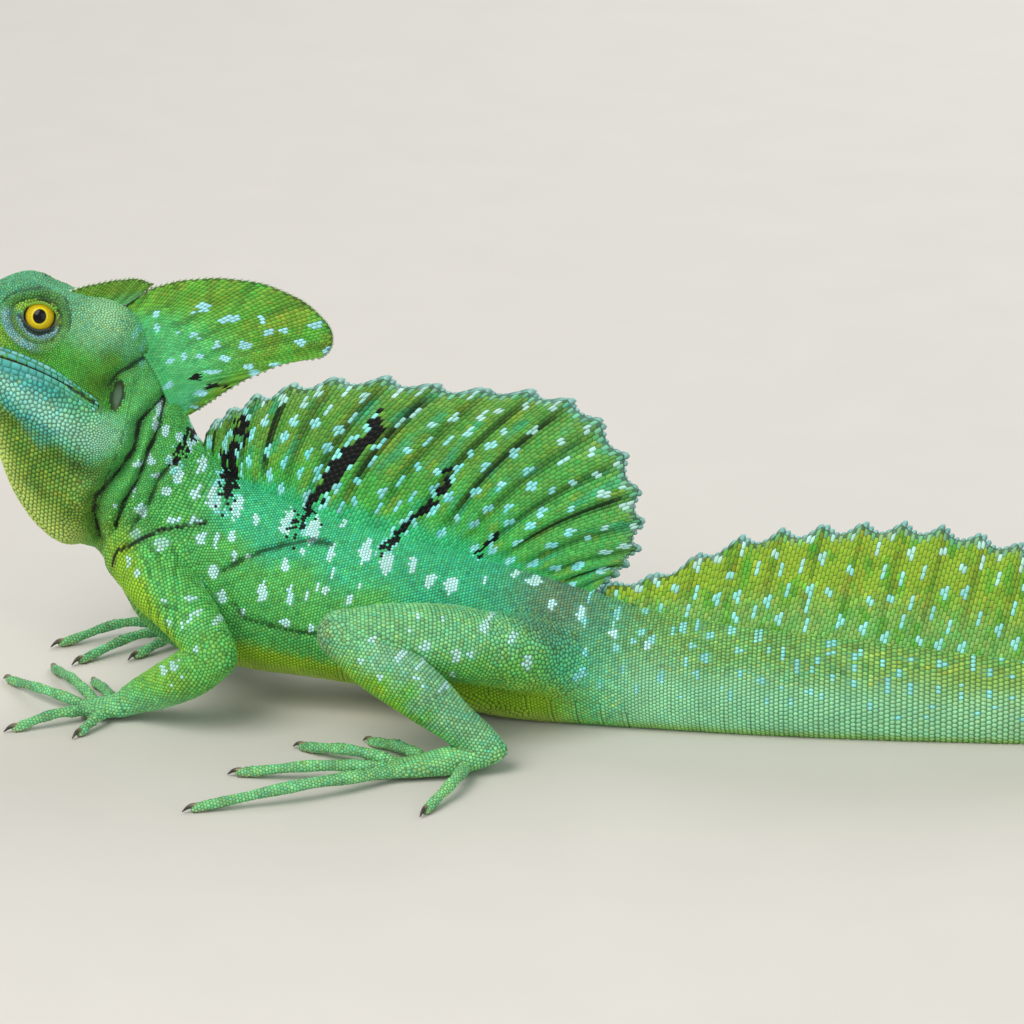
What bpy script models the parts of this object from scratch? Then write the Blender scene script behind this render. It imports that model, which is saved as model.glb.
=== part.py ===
"""Green basilisk, an adult male, resting with its head raised, as a still life-size model.

The animal faces -X, its left side faces -Y, and +Z is up. The floor is z = 0.
Every size in this script is in millimetres; MM turns it into Blender's metres.
The body is one tube of sections from the snout to the tail tip, parted by thin cuts.
"""

import math

import bmesh
import bpy
import numpy as np
from mathutils import Vector

MM = 0.001
GAP = 0.3  # between two pieces that touch
MERGE = 0.00001  # in metres, the points of a cut that are made one

# Head: a frame of its own, from the snout tip backwards. The head is raised and turned to its left.
SNOUT = np.array([-155.0, -16.4, 96.0])
HEAD_PITCH = math.radians(12.0)
HEAD_YAW = math.radians(10.8)
EYE_BACK, EYE_UP, EYE_SIDE, EYE_RADIUS = 30.2, 15.3, 7.6, 4.6
SOCKET_GAP = 0.42
LID_RING, LID_THICKNESS, LID_TILT = 4.5, 0.85, math.radians(20.0)
EAR_BACK, EAR_UP, EAR_HALF_LENGTH, EAR_HALF_HEIGHT, EAR_DEPTH = 54.2, 0.5, 1.7, 4.2, 1.3
NOSTRIL_BACK, NOSTRIL_UP, NOSTRIL_RADIUS = 5.6, 5.6, 0.75
MOUTH_GROOVE, MOUTH_DEPTH = 0.5, 0.9
# back from the snout, height of the mouth line
MOUTH_LINE = ((0.0, 0.6), (8.0, 0.9), (16.0, 1.3), (27.0, 1.6), (35.0, 0.6), (43.0, -1.6), (50.0, -4.6))

# Head sections: back, above, below, half width, fullness, lean. Lean above 0 is broader at the top.
HEAD_SECTIONS = (
    (0.0, 2.6, 1.8, 2.0, 2.0, 0.0),  # snout tip
    (1.6, 5.6, 4.4, 4.4, 2.1, 0.0),
    (5.0, 9.0, 6.4, 6.3, 2.3, 0.0),  # nostrils
    (11.0, 13.8, 8.4, 8.0, 2.4, 0.0),
    (18.0, 19.8, 12.5, 9.4, 2.4, 0.05),
    (24.5, 22.9, 23.5, 11.0, 2.5, 0.18),  # front of the brow
    (32.0, 21.7, 36.0, 12.2, 2.6, 0.30),  # behind the eye
    (40.0, 21.2, 44.0, 13.2, 2.5, 0.32),
    (48.0, 21.3, 47.3, 13.9, 2.4, 0.26),  # jaw muscle and throat sac
)
# Sections behind the head: top x, top z, bottom x, bottom z, middle y, half width, fullness, lean.
BODY_SECTIONS = (
    (-100.0, 104.0, -117.0, 38.8, -6.0, 13.8, 2.2, 0.12),  # ear
    (-93.0, 91.0, -115.0, 38.0, -4.4, 12.9, 2.1, 0.04),  # behind the ear
    (-87.6, 77.5, -112.2, 36.4, -3.2, 12.7, 2.1, 0.0),  # nape
    (-84.5, 69.5, -107.5, 29.0, -2.2, 13.6, 2.1, -0.10),  # neck base
    (-80.0, 64.0, -102.0, 19.5, -1.2, 15.6, 2.1, -0.20),  # shoulders
    (-72.0, 58.4, -90.5, 11.0, -0.4, 17.8, 2.1, -0.25),  # chest
    (-60.0, 53.6, -71.0, 7.4, 0.0, 19.2, 2.1, -0.28),
    (-46.5, 50.1, -51.5, 6.8, 0.0, 20.0, 2.1, -0.30),  # deepest ribs
    (-31.0, 47.0, -33.0, 5.2, 0.0, 19.6, 2.1, -0.30),
    (-15.5, 43.8, -16.0, 2.0, 0.0, 18.0, 2.1, -0.28),  # loin
    (2.5, 40.2, 2.5, -0.6, 0.0, 15.6, 2.1, -0.24),  # hips
    (20.5, 36.0, 20.5, -0.9, 0.0, 12.4, 2.1, -0.20),  # vent
    (35.0, 32.2, 35.0, -0.9, 0.2, 10.4, 2.1, -0.18),  # tail root
    (50.0, 30.2, 50.0, -0.9, 0.8, 9.0, 2.1, -0.18),
    (66.5, 28.6, 66.5, -0.9, 2.0, 7.9, 2.1, -0.20),
    (90.0, 26.8, 90.0, -0.9, 4.6, 6.8, 2.1, -0.22),
    (122.0, 23.6, 122.0, -0.9, 9.6, 5.8, 2.1, -0.22),
    (165.0, 18.8, 165.0, -0.9, 18.0, 4.8, 2.1, -0.20),
    (215.0, 14.4, 215.0, -0.9, 28.5, 3.9, 2.0, -0.16),
    (270.0, 10.8, 270.0, -0.9, 38.0, 3.1, 2.0, -0.12),
    (330.0, 7.8, 330.0, -0.8, 43.0, 2.45, 2.0, -0.08),
    (390.0, 5.5, 390.0, -0.7, 41.0, 1.9, 2.0, 0.0),
    (440.0, 3.9, 440.0, -0.6, 34.0, 1.45, 2.0, 0.0),
    (480.0, 2.6, 480.0, -0.4, 24.5, 1.05, 2.0, 0.0),
    (502.0, 1.6, 502.0, -0.3, 17.5, 0.6, 2.0, 0.0),  # tail tip
)
# Cuts: the section after which each node of the tube ends, counted in BODY_SECTIONS.
HEAD_END, NECK_END, TORSO_END = 1, 3, 12
TAIL_ENDS = (16, 18, 20, 24)
NODE_RINGS = {"head": 22, "neck": 6, "torso": 20, "tail_1": 12, "tail_2": 10, "tail_3": 10, "tail_4": 13}
NODE_SIDES = {"head": 30, "neck": 28, "torso": 28, "tail_1": 20, "tail_2": 16, "tail_3": 12, "tail_4": 10}
FIT_SIDES = 40  # of the grown copy of the body that other pieces are fitted to

# Head forms in relief: back, up, reach along, reach up, height of the form.
HEAD_FORMS = (
    (25.5, 21.4, 8.0, 2.6, 1.3),  # brow ridge
    (30.2, 15.2, 6.2, 5.0, -1.4),  # hollow round the eye
    (17.0, 14.0, 6.0, 2.2, 0.7),  # ridge from the brow to the nostril
    (15.0, 8.0, 6.0, 2.8, -0.6),  # hollow in front of the eye
    (47.0, 6.0, 7.0, 7.5, 0.9),  # jaw muscle
    (53.5, 0.5, 3.2, 5.5, -0.8),  # hollow of the ear
    (22.0, 3.8, 16.0, 1.2, 0.45),  # upper lip
    (24.0, -1.6, 15.0, 1.4, 0.4),  # lower lip
)

# Sail along the back, ray by ray: x of the root on the back, x and z of the tip.
SAIL_RAYS = (
    (-83.0, -82.0, 70.6),
    (-79.0, -77.5, 75.0),
    (-73.0, -69.0, 80.2),
    (-65.0, -54.5, 85.6),
    (-57.5, -35.0, 88.2),
    (-45.0, -15.5, 87.4),
    (-31.0, 3.5, 88.0),
    (-20.0, 18.5, 85.0),
    (-12.0, 29.0, 73.0),
    (-4.0, 33.6, 59.5),
    (6.0, 32.4, 48.0),
    (14.0, 28.5, 42.0),
    (21.0, 25.0, 38.6),
)
SAIL_RAY_COUNT, SAIL_ROWS = 18, 6
SAIL_ROOT, SAIL_EDGE, SAIL_RIDGE, SAIL_SCALLOP = 1.5, 0.5, 0.4, 2.4
# Crest along the tail: x of the root, z of the top edge.
TAIL_CREST = (
    (25.0, 37.0),
    (34.0, 39.4),
    (42.0, 44.0),
    (52.0, 50.4),
    (66.0, 54.4),
    (84.0, 57.0),
    (100.0, 57.2),
    (122.0, 53.2),
    (145.0, 46.5),
    (175.0, 36.0),
    (205.0, 26.0),
    (235.0, 17.6),
    (262.0, 12.2),
)
TAIL_CREST_RAYS, TAIL_CREST_ROWS, TAIL_CREST_LEAN = 24, 3, 0.24
TAIL_CREST_ROOT, TAIL_CREST_EDGE, TAIL_CREST_RIDGE, TAIL_CREST_SCALLOP = 1.3, 0.45, 0.35, 2.6
# Rear crest of the head: root x and z, edge x and z, from the brow round to the nape.
REAR_CREST = (
    (-102.6, 102.0, -102.2, 105.4),
    (-100.5, 99.5, -93.6, 111.0),
    (-99.0, 97.5, -81.0, 113.4),
    (-97.0, 94.5, -67.0, 112.2),
    (-95.0, 91.0, -55.6, 107.0),
    (-93.5, 88.0, -49.3, 99.6),
    (-92.5, 85.5, -51.0, 93.2),
    (-91.5, 83.0, -60.0, 91.2),
    (-90.5, 80.5, -71.5, 86.0),
    (-89.8, 78.0, -80.5, 80.0),
    (-89.5, 75.5, -86.0, 76.0),
)
# Front crest of the head, from the brow back to its free tip over the rear crest.
FRONT_CREST = (
    (-121.5, 103.5, -121.8, 106.8),
    (-118.0, 103.5, -116.5, 109.2),
    (-114.5, 103.5, -110.5, 111.2),
    (-111.0, 104.0, -104.0, 112.5),
    (-107.5, 104.8, -98.8, 113.0),
    (-105.0, 106.7, -95.2, 112.1),
)
CREST_ROOT, CREST_EDGE = 1.5, 0.5

# Limbs: the centres of the joints and, between them, of the muscles, each with its radius.
LEFT_ARM = {
    "upper": ((-95.0, -6.0, 41.0, 9.0), (-87.5, -19.5, 35.5, 7.8), (-78.5, -28.5, 30.2, 6.9), (-70.2, -35.6, 24.6, 6.0)),
    "lower": ((-70.2, -35.6, 24.6, 6.0), (-76.0, -35.6, 18.6, 6.2), (-84.5, -33.2, 12.0, 5.2), (-94.5, -30.4, 5.6, 3.6)),
}
LEFT_LEG = {
    "upper": ((15.0, -7.0, 20.0, 9.5), (6.5, -17.0, 26.0, 10.6), (-8.0, -28.5, 32.2, 10.0),
              (-23.5, -36.6, 34.4, 8.3), (-34.5, -40.4, 33.0, 6.9)),
    "lower": ((-34.5, -40.4, 33.0, 6.9), (-25.5, -42.0, 27.6, 7.6), (-13.5, -43.6, 20.4, 7.0),
              (-3.0, -43.6, 12.4, 5.2), (5.2, -42.6, 6.0, 4.4)),
}
# Feet: palm sections as x, y, z, half width, half height, then each toe from its root to its tip.
LEFT_HAND = {
    "palm": ((-94.0, -30.6, 5.4, 3.6, 3.5), (-98.5, -30.6, 3.6, 4.6, 3.0), (-104.5, -31.4, 2.3, 5.0, 2.5)),
    "toes": (
        ((-100.0, -28.0, 2.4), (-106.0, -19.5, 3.0), (-111.6, -11.0, 1.1)),
        ((-104.0, -29.5, 2.4), (-113.8, -18.8, 3.8), (-125.0, -4.0, 1.1)),
        ((-105.5, -31.2, 2.4), (-118.4, -27.0, 4.0), (-134.0, -14.6, 1.1)),
        ((-105.0, -33.0, 2.4), (-113.0, -40.6, 3.6), (-121.6, -46.4, 1.1)),
        ((-100.0, -33.0, 2.4), (-102.0, -39.4, 3.0), (-104.4, -45.4, 1.1)),
    ),
    "toe_radius": (1.7, 1.35),
}
LEFT_FOOT = {
    "palm": ((5.4, -42.4, 5.6, 4.2, 4.2), (-4.0, -46.8, 4.0, 4.6, 3.4), (-14.5, -52.0, 2.5, 4.8, 2.7)),
    "toes": (
        ((-9.0, -47.5, 2.6), (-19.6, -40.0, 3.4), (-29.2, -33.4, 1.2)),
        ((-14.5, -50.0, 2.6), (-30.0, -47.4, 4.2), (-45.4, -41.0, 1.2)),
        ((-15.5, -52.0, 2.6), (-35.0, -59.4, 4.4), (-56.2, -61.6, 1.2)),
        ((-15.5, -53.5, 2.6), (-36.6, -73.6, 4.6), (-60.6, -86.6, 1.2)),
        ((0.0, -46.4, 3.2), (-0.4, -61.0, 3.8), (-3.8, -73.6, 1.2)),
    ),
    "toe_radius": (2.0, 1.45),
}
# The right limbs mirror the left ones, set further back along the body, as in a slow walk.
RIGHT_ARM_SHIFT, RIGHT_LEG_SHIFT = 5.0, 9.0
LIMB_SIDES, TOE_SIDES = 14, 6
CLAW_LENGTH, CLAW_RADIUS = 3.4, 0.8

SKIN = {
    "head": (0.30, 0.55, 0.24),
    "body": (0.22, 0.62, 0.30),
    "limb": (0.26, 0.52, 0.24),
    "sail": (0.34, 0.56, 0.14),
    "eye": (0.85, 0.62, 0.05),
}


def cubic(keys, places):
    """A smooth curve through rows of keys, whose first column is the place along the curve."""
    keys = np.asarray(keys, float)
    x, y = keys[:, 0], keys[:, 1:]
    step = np.diff(x)[:, None]
    slope = np.diff(y, axis=0) / step
    inner = (slope[:-1] * step[1:] + slope[1:] * step[:-1]) / (step[:-1] + step[1:])
    tangent = np.vstack([slope[:1], inner, slope[-1:]])
    places = np.clip(np.atleast_1d(places), x[0], x[-1])
    i = np.clip(np.searchsorted(x, places, "right") - 1, 0, len(x) - 2)
    h = step[i]
    t = ((places - x[i]) / h[:, 0])[:, None]
    return (
        y[i] * (1 + 2 * t) * (1 - t) ** 2
        + tangent[i] * h * t * (1 - t) ** 2
        + y[i + 1] * t**2 * (3 - 2 * t)
        + tangent[i + 1] * h * t**2 * (t - 1)
    )


def head_axes():
    """Unit vectors of the head: back towards the neck, to the right side, and up."""
    back = np.array([
        math.cos(HEAD_PITCH) * math.cos(HEAD_YAW),
        math.cos(HEAD_PITCH) * math.sin(HEAD_YAW),
        -math.sin(HEAD_PITCH),
    ])
    side = np.array([-math.sin(HEAD_YAW), math.cos(HEAD_YAW), 0.0])
    return back, side, np.cross(back, side)


def in_head(back, side, up):
    """The point of the world that lies there in the head's own frame."""
    axes = head_axes()
    return SNOUT + axes[0] * back + axes[1] * side + axes[2] * up


def section_keys():
    """All the sections in one form: place along the body, top point, bottom point, half width, fullness, lean."""
    rows = []
    for back, above, below, half_width, fullness, lean in HEAD_SECTIONS:
        rows.append((*in_head(back, 0, above), *in_head(back, 0, -below), half_width, fullness, lean))
    for top_x, top_z, bottom_x, bottom_z, y, half_width, fullness, lean in BODY_SECTIONS:
        rows.append((top_x, y, top_z, bottom_x, y, bottom_z, half_width, fullness, lean))
    rows = np.array(rows)
    centre = (rows[:, 0:3] + rows[:, 3:6]) / 2
    steps = np.linalg.norm(np.diff(centre, axis=0), axis=1)
    place = np.concatenate([[0.0], np.cumsum(steps)])
    return np.column_stack([place, rows])


SECTIONS = section_keys()
PLACE = {i: SECTIONS[len(HEAD_SECTIONS) + i, 0] for i in range(len(BODY_SECTIONS))}
CUTS = [0.0] + [PLACE[i] for i in (HEAD_END, NECK_END, TORSO_END, *TAIL_ENDS)]
NODE_SPANS = dict(zip(NODE_RINGS, zip(CUTS, CUTS[1:])))


def body_frame(place):
    """Centre, half height as a vector, direction to the right side and the shape of one section."""
    row = cubic(SECTIONS, place)[0]
    top, bottom = row[0:3], row[3:6]
    ahead, behind = cubic(SECTIONS, place + 2.0)[0], cubic(SECTIONS, place - 2.0)[0]
    run = (ahead[0:2] + ahead[3:5]) - (behind[0:2] + behind[3:5])
    run /= np.linalg.norm(run)
    return (top + bottom) / 2, (top - bottom) / 2, np.array([-run[1], run[0], 0.0]), row[6:]


def body_ring(place, sides, grow=0.0):
    """Points round one section of the body, from the ridge of the back over the right side."""
    centre, half, right, (half_width, fullness, lean) = body_frame(place)
    up = half / np.linalg.norm(half)
    ring = []
    for i in range(sides):
        angle = 2 * math.pi * i / sides
        height, out = math.cos(angle), math.sin(angle)
        width = half_width * max(0.0, 1 - abs(height) ** fullness) ** (1 / fullness) * (1 + lean * height)
        point = centre + half * height + right * math.copysign(width, out)
        ring.append(point + grow * (up * height + right * out))
    return np.array(ring)


def add_relief(ring, place):
    """Raises and sinks the forms of the head, alike on both sides."""
    back, side, up = head_axes()
    centre = body_frame(place)[0]
    for i, point in enumerate(ring):
        d, s, u = (float((point - SNOUT) @ axis) for axis in (back, side, up))
        if abs(s) < 1.0:
            continue
        amount = sum(
            height * math.exp(-(((d - at_back) / reach) ** 2) - (((u - at_up) / reach_up) ** 2))
            for at_back, at_up, reach, reach_up, height in HEAD_FORMS
        )
        outward = side * math.copysign(1.0, s) + 0.35 * (point - centre) / np.linalg.norm(point - centre)
        ring[i] = point + amount * outward / np.linalg.norm(outward)
    return ring


def material(name):
    """A plain Principled material in one of the skin's colours."""
    made = bpy.data.materials.get(name)
    if made is None:
        made = bpy.data.materials.new(name)
        made.use_nodes = True
        shader = made.node_tree.nodes["Principled BSDF"]
        shader.inputs["Base Color"].default_value = (*SKIN[name], 1.0)
        shader.inputs["Roughness"].default_value = 0.15 if name == "eye" else 0.55
        shader.inputs["Metallic"].default_value = 0.0
    return made


def object_from(bm, name, colour, collection):
    """A mesh object from a bmesh in millimetres, with its faces pointing out."""
    bmesh.ops.scale(bm, vec=(MM, MM, MM), verts=bm.verts)
    bmesh.ops.recalc_face_normals(bm, faces=bm.faces)
    mesh = bpy.data.meshes.new(name)
    bm.to_mesh(mesh)
    bm.free()
    obj = bpy.data.objects.new(name, mesh)
    mesh.materials.append(material(colour))
    mesh.shade_smooth()
    collection.objects.link(obj)
    return obj


def loft(name, rings, colour, collection):
    """A closed solid through rings of equally many points, with flat ends."""
    bm = bmesh.new()
    loops = [[bm.verts.new(point) for point in ring] for ring in rings]
    for lower, upper in zip(loops, loops[1:]):
        for i in range(len(lower)):
            j = (i + 1) % len(lower)
            bm.faces.new((lower[i], lower[j], upper[j], upper[i]))
    bm.faces.new(loops[0])
    bm.faces.new(loops[-1])
    return object_from(bm, name, colour, collection)


def body_part(name, places, sides, colour, collection, grow=0.0):
    """The tube of the body through these places, drawn back from both ends by half of the gap."""
    rings = [body_ring(place, sides, grow) for place in places]
    rings = [add_relief(ring, place) if place <= PLACE[HEAD_END] else ring for ring, place in zip(rings, places)]
    for ring, toward in ((rings[0], 1), (rings[-1], -1)):
        normal = np.cross(ring[1] - ring[0], ring[len(ring) // 2] - ring[0])
        normal *= toward * math.copysign(1.0, normal[0]) / np.linalg.norm(normal)
        ring += normal * (GAP / 2 - grow)
    rings = [np.column_stack([ring[:, :2], np.maximum(ring[:, 2], -grow)]) for ring in rings]
    return loft(name, rings, colour, collection)


def node_places(node):
    """The places of the sections of one node of the body, evenly spaced between its two cuts."""
    return np.linspace(*NODE_SPANS[node], NODE_RINGS[node])


def tube(name, keys, sides, rings, colour, collection, caps=(60, 30)):
    """A tube through centres with one radius, or a half width and a half height, and with round ends."""
    keys = np.asarray(keys, float)
    if keys.shape[1] == 4:
        keys = np.column_stack([keys, keys[:, 3]])
    steps = np.linalg.norm(np.diff(keys[:, :3], axis=0), axis=1)
    place = np.concatenate([[0.0], np.cumsum(steps)])
    rows = cubic(np.column_stack([place, keys]), np.linspace(0, place[-1], rings))
    centres, radii = rows[:, :3], rows[:, 3:]
    along = np.gradient(centres, axis=0)
    along /= np.linalg.norm(along, axis=1)[:, None]
    first = [(centres[0], -along[0], radii[0], math.radians(90 - angle)) for angle in caps[::-1]]
    last = [(centres[-1], along[-1], radii[-1], math.radians(90 - angle)) for angle in caps]
    stations = [(c + way * r[0] * math.sin(a), -way, r * math.cos(a)) for c, way, r, a in first]
    stations += list(zip(centres, along, radii))
    stations += [(c + way * r[0] * math.sin(a), way, r * math.cos(a)) for c, way, r, a in last]
    loops = []
    for centre, direction, (wide, tall) in stations:
        across = np.cross([0.0, 0.0, 1.0], direction)
        across /= np.linalg.norm(across)
        upward = np.cross(direction, across)
        angles = [2 * math.pi * i / sides for i in range(sides)]
        loops.append([centre + across * wide * math.cos(a) + upward * tall * math.sin(a) for a in angles])
    return loft(name, np.array(loops), colour, collection)


def trim(obj, point, keep):
    """Cuts the object flat at a point and keeps the side that keep points to, closed."""
    bm = bmesh.new()
    bm.from_mesh(obj.data)
    geometry = bm.verts[:] + bm.edges[:] + bm.faces[:]
    cut = bmesh.ops.bisect_plane(
        bm, geom=geometry, dist=1e-7, plane_co=Vector(point) * MM, plane_no=-Vector(keep), clear_outer=True
    )
    edges = [e for e in cut["geom_cut"] if isinstance(e, bmesh.types.BMEdge)]
    bmesh.ops.holes_fill(bm, edges=edges)
    bmesh.ops.recalc_face_normals(bm, faces=bm.faces)
    bm.to_mesh(obj.data)
    bm.free()


def clean(obj):
    """Removes the slivers that a cut leaves."""
    bm = bmesh.new()
    bm.from_mesh(obj.data)
    bmesh.ops.triangulate(bm, faces=bm.faces)
    bmesh.ops.remove_doubles(bm, verts=bm.verts, dist=MERGE)
    bmesh.ops.dissolve_degenerate(bm, edges=bm.edges, dist=MERGE)
    bm.to_mesh(obj.data)
    bm.free()


def apply_boolean(obj, operation, operand, solver="EXACT"):
    """Joins or cuts with an object or a collection, bakes the result and removes the operands."""
    modifier = obj.modifiers.new(operation.title(), "BOOLEAN")
    modifier.operation = operation
    modifier.solver = solver
    if isinstance(operand, bpy.types.Collection):
        modifier.operand_type = "COLLECTION"
        modifier.collection = operand
    else:
        modifier.object = operand
    graph = bpy.context.evaluated_depsgraph_get()
    graph.update()
    mesh = bpy.data.meshes.new_from_object(obj.evaluated_get(graph))
    obj.modifiers.clear()
    obj.data = mesh
    mesh.name = obj.name


def keep_largest(obj):
    """Removes slivers and keeps the largest closed surface of the mesh."""
    clean(obj)
    bm = bmesh.new()
    bm.from_mesh(obj.data)
    seen, shells = set(), []
    for start in bm.verts:
        if start in seen:
            continue
        shell, queue = [], [start]
        seen.add(start)
        while queue:
            vert = queue.pop()
            shell.append(vert)
            for edge in vert.link_edges:
                other = edge.other_vert(vert)
                if other not in seen:
                    seen.add(other)
                    queue.append(other)
        shells.append(shell)
    largest = max(shells, key=lambda shell: sum(face.calc_area() for v in shell for face in v.link_faces))
    loose = [vert for shell in shells if shell is not largest for vert in shell]
    bmesh.ops.delete(bm, geom=loose, context="VERTS")
    bm.to_mesh(obj.data)
    bm.free()


def fuse(obj, pieces, collection, solver="EXACT"):
    """Joins pieces to the object in one union."""
    group = bpy.data.collections.new(obj.name + "_pieces")
    for piece in pieces:
        collection.objects.unlink(piece)
        group.objects.link(piece)
    apply_boolean(obj, "UNION", group, solver)
    for piece in pieces:
        bpy.data.objects.remove(piece)
    bpy.data.collections.remove(group)


def cut(obj, cutters, solver="EXACT"):
    """Cuts each cutter out of the object and removes it."""
    for cutter in cutters:
        apply_boolean(obj, "DIFFERENCE", cutter, solver)
        bpy.data.objects.remove(cutter)


def ball(name, centre, radii, axes, colour, collection, segments=20, rings=12):
    """An ellipsoid with its three radii along three axes."""
    bm = bmesh.new()
    bmesh.ops.create_uvsphere(bm, u_segments=segments, v_segments=rings, radius=1.0)
    for vert in bm.verts:
        vert.co = Vector(centre + sum(c * r * axis for c, r, axis in zip(vert.co, radii, axes)))
    return object_from(bm, name, colour, collection)


def ring_shape(name, centre, axes, radius, thickness, colour, collection, sides=16, section=6):
    """A torus round the first axis."""
    loops = []
    for i in range(sides):
        angle = 2 * math.pi * i / sides
        out = axes[1] * math.cos(angle) + axes[2] * math.sin(angle)
        loops.append([
            centre + out * (radius + thickness * math.cos(a)) + axes[0] * thickness * math.sin(a)
            for a in (2 * math.pi * j / section for j in range(section))
        ])
    bm = bmesh.new()
    verts = [[bm.verts.new(point) for point in loop] for loop in loops]
    for i in range(sides):
        for j in range(section):
            k, m = (i + 1) % sides, (j + 1) % section
            bm.faces.new((verts[i][j], verts[k][j], verts[k][m], verts[i][m]))
    return object_from(bm, name, colour, collection)


def head_half_width(back, up):
    """How far the side of the head lies from its middle plane there."""
    keys = np.array([(row[0], row[1], row[2], *row[3:]) for row in HEAD_SECTIONS])
    above, below, half_width, fullness, lean = cubic(keys, back)[0]
    height = (2 * up - above + below) / (above + below)
    return half_width * max(0.0, 1 - abs(height) ** fullness) ** (1 / fullness) * (1 + lean * height)


def mouth_cutter(collection):
    """A thin ribbon that follows the line of the mouth from one corner round the snout to the other."""
    _, side, up = head_axes()
    backs = (50.0, 46.0, 41.0, 35.0, 28.0, 21.0, 14.0, 8.0, 4.0, 1.6)
    path = []
    for way in (-1, 1):
        half = []
        for back in backs:
            height = float(cubic(MOUTH_LINE, back)[0, 0])
            lean_out = 1.0 if back > 6 else 0.75
            outward = side * way * lean_out - head_axes()[0] * (1 - lean_out**2) ** 0.5
            point = in_head(back, way * head_half_width(back, height), height)
            half.append((point, outward))
        path += half if way < 0 else [(in_head(0.0, 0.0, MOUTH_LINE[0][1]), -head_axes()[0])] + half[::-1]
    rings = []
    for point, outward in path:
        inner, outer = point - outward * MOUTH_DEPTH, point + outward * 2.0
        rise = up * MOUTH_GROOVE / 2
        rings.append([inner - rise, outer - rise, outer + rise, inner + rise])
    return loft("mouth_cutter", np.array(rings), "head", collection)


def make_head(parts):
    """The head with its lids, eye sockets, nostrils, ear openings and the line of the mouth."""
    back, side, up = head_axes()
    head = body_part("head", node_places("head"), NODE_SIDES["head"], "head", parts)
    lids = []
    eyes = []
    for way, name in ((-1, "left"), (1, "right")):
        centre = in_head(EYE_BACK, way * EYE_SIDE, EYE_UP)
        outward = side * way * math.cos(LID_TILT) + up * math.sin(LID_TILT)
        axes = (outward, back, np.cross(outward, back))
        lids.append(ring_shape("lid_" + name, centre + outward * 2.0, axes, LID_RING, LID_THICKNESS, "head", parts))
        eyes.append((name, centre))
    fuse(head, lids, parts, "MANIFOLD")
    cutters = [mouth_cutter(parts)]
    for way, (name, centre) in zip((-1, 1), eyes):
        cutters.append(ball("socket", centre, [EYE_RADIUS + SOCKET_GAP] * 3, (side, up, back), "head", parts, 16, 10))
        nostril = in_head(NOSTRIL_BACK, way * head_half_width(NOSTRIL_BACK, NOSTRIL_UP), NOSTRIL_UP)
        cutters.append(ball("nostril", nostril, (1.1, NOSTRIL_RADIUS, 1.0), (side, up, back), "head", parts, 8, 6))
    cut(head, cutters, "MANIFOLD")
    for name, centre in eyes:
        ball("eye_" + name, centre, [EYE_RADIUS] * 3, (back, up, side), "eye", parts, 18, 10)
    return head


def cut_ears(head, parts):
    """The shallow cup of each ear, in the side of the head behind the jaw."""
    back, side, up = head_axes()
    for way in (-1, 1):
        reach = surface_reach(head, in_head(EAR_BACK, 0.0, EAR_UP), side * way)
        centre = in_head(EAR_BACK, way * (reach + 0.4), EAR_UP)
        radii = (EAR_DEPTH + 0.4, EAR_HALF_HEIGHT, EAR_HALF_LENGTH)
        cut(head, [ball("ear", centre, radii, (side, up, back), "head", parts, 12, 8)], "MANIFOLD")


def surface_reach(obj, start, direction):
    """How far the object's outer surface lies from a point inside it."""
    hit, where, _, _ = obj.ray_cast(Vector(start + direction * 40.0) * MM, -Vector(direction))
    return 40.0 - (where - Vector(start + direction * 40.0) * MM).length / MM if hit else 0.0


def fin(name, columns, rows, place, half_thickness, right_of, colour, collection):
    """A closed membrane: place(u, v) is its middle, and both faces are split into triangles alike."""
    bm = bmesh.new()
    us, vs = np.linspace(0, 1, columns + 1), np.linspace(0, 1, rows + 1)
    faces = {}
    for way in (-1, 1):
        faces[way] = [
            [bm.verts.new(place(u, v) + right_of(u) * way * half_thickness(u, v)) for v in vs] for u in us
        ]
    for way, grid in faces.items():
        for i in range(columns):
            for j in range(rows):
                a, b, c, d = grid[i][j], grid[i + 1][j], grid[i + 1][j + 1], grid[i][j + 1]
                bm.faces.new((a, b, c)[::way])
                bm.faces.new((a, c, d)[::way])
    near, far = faces[-1], faces[1]
    border = [(i, 0) for i in range(columns)] + [(columns, j) for j in range(rows)]
    border += [(i, rows) for i in range(columns, 0, -1)] + [(0, j) for j in range(rows, 0, -1)]
    for (i, j), (k, m) in zip(border, border[1:] + border[:1]):
        bm.faces.new((near[i][j], near[k][m], far[k][m], far[i][j]))
    return object_from(bm, name, colour, collection)


def ridge_place(x):
    """The place along the body where the ridge of the back is at this x."""
    places = np.linspace(PLACE[HEAD_END], PLACE[TAIL_ENDS[-1]], 400)
    return float(np.interp(x, cubic(SECTIONS, places)[:, 0], places))


def ridge_point(x):
    """The point on the ridge of the back at this x, and the direction to the right side there."""
    centre, half, right, _ = body_frame(ridge_place(x))
    return centre + half, right


def scallop(u, rays):
    """0 to 1 along the edge: a point at each ray that leans back, and a hollow between two rays."""
    part = (u * rays) % 1.0
    return 1 - math.sin(math.pi * part) if part else 1.0


def ray_ridge(u, rays):
    """0 to 1 across the membrane: the raised line of each ray."""
    return (0.5 + 0.5 * math.cos(2 * math.pi * u * rays)) ** 2


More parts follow.
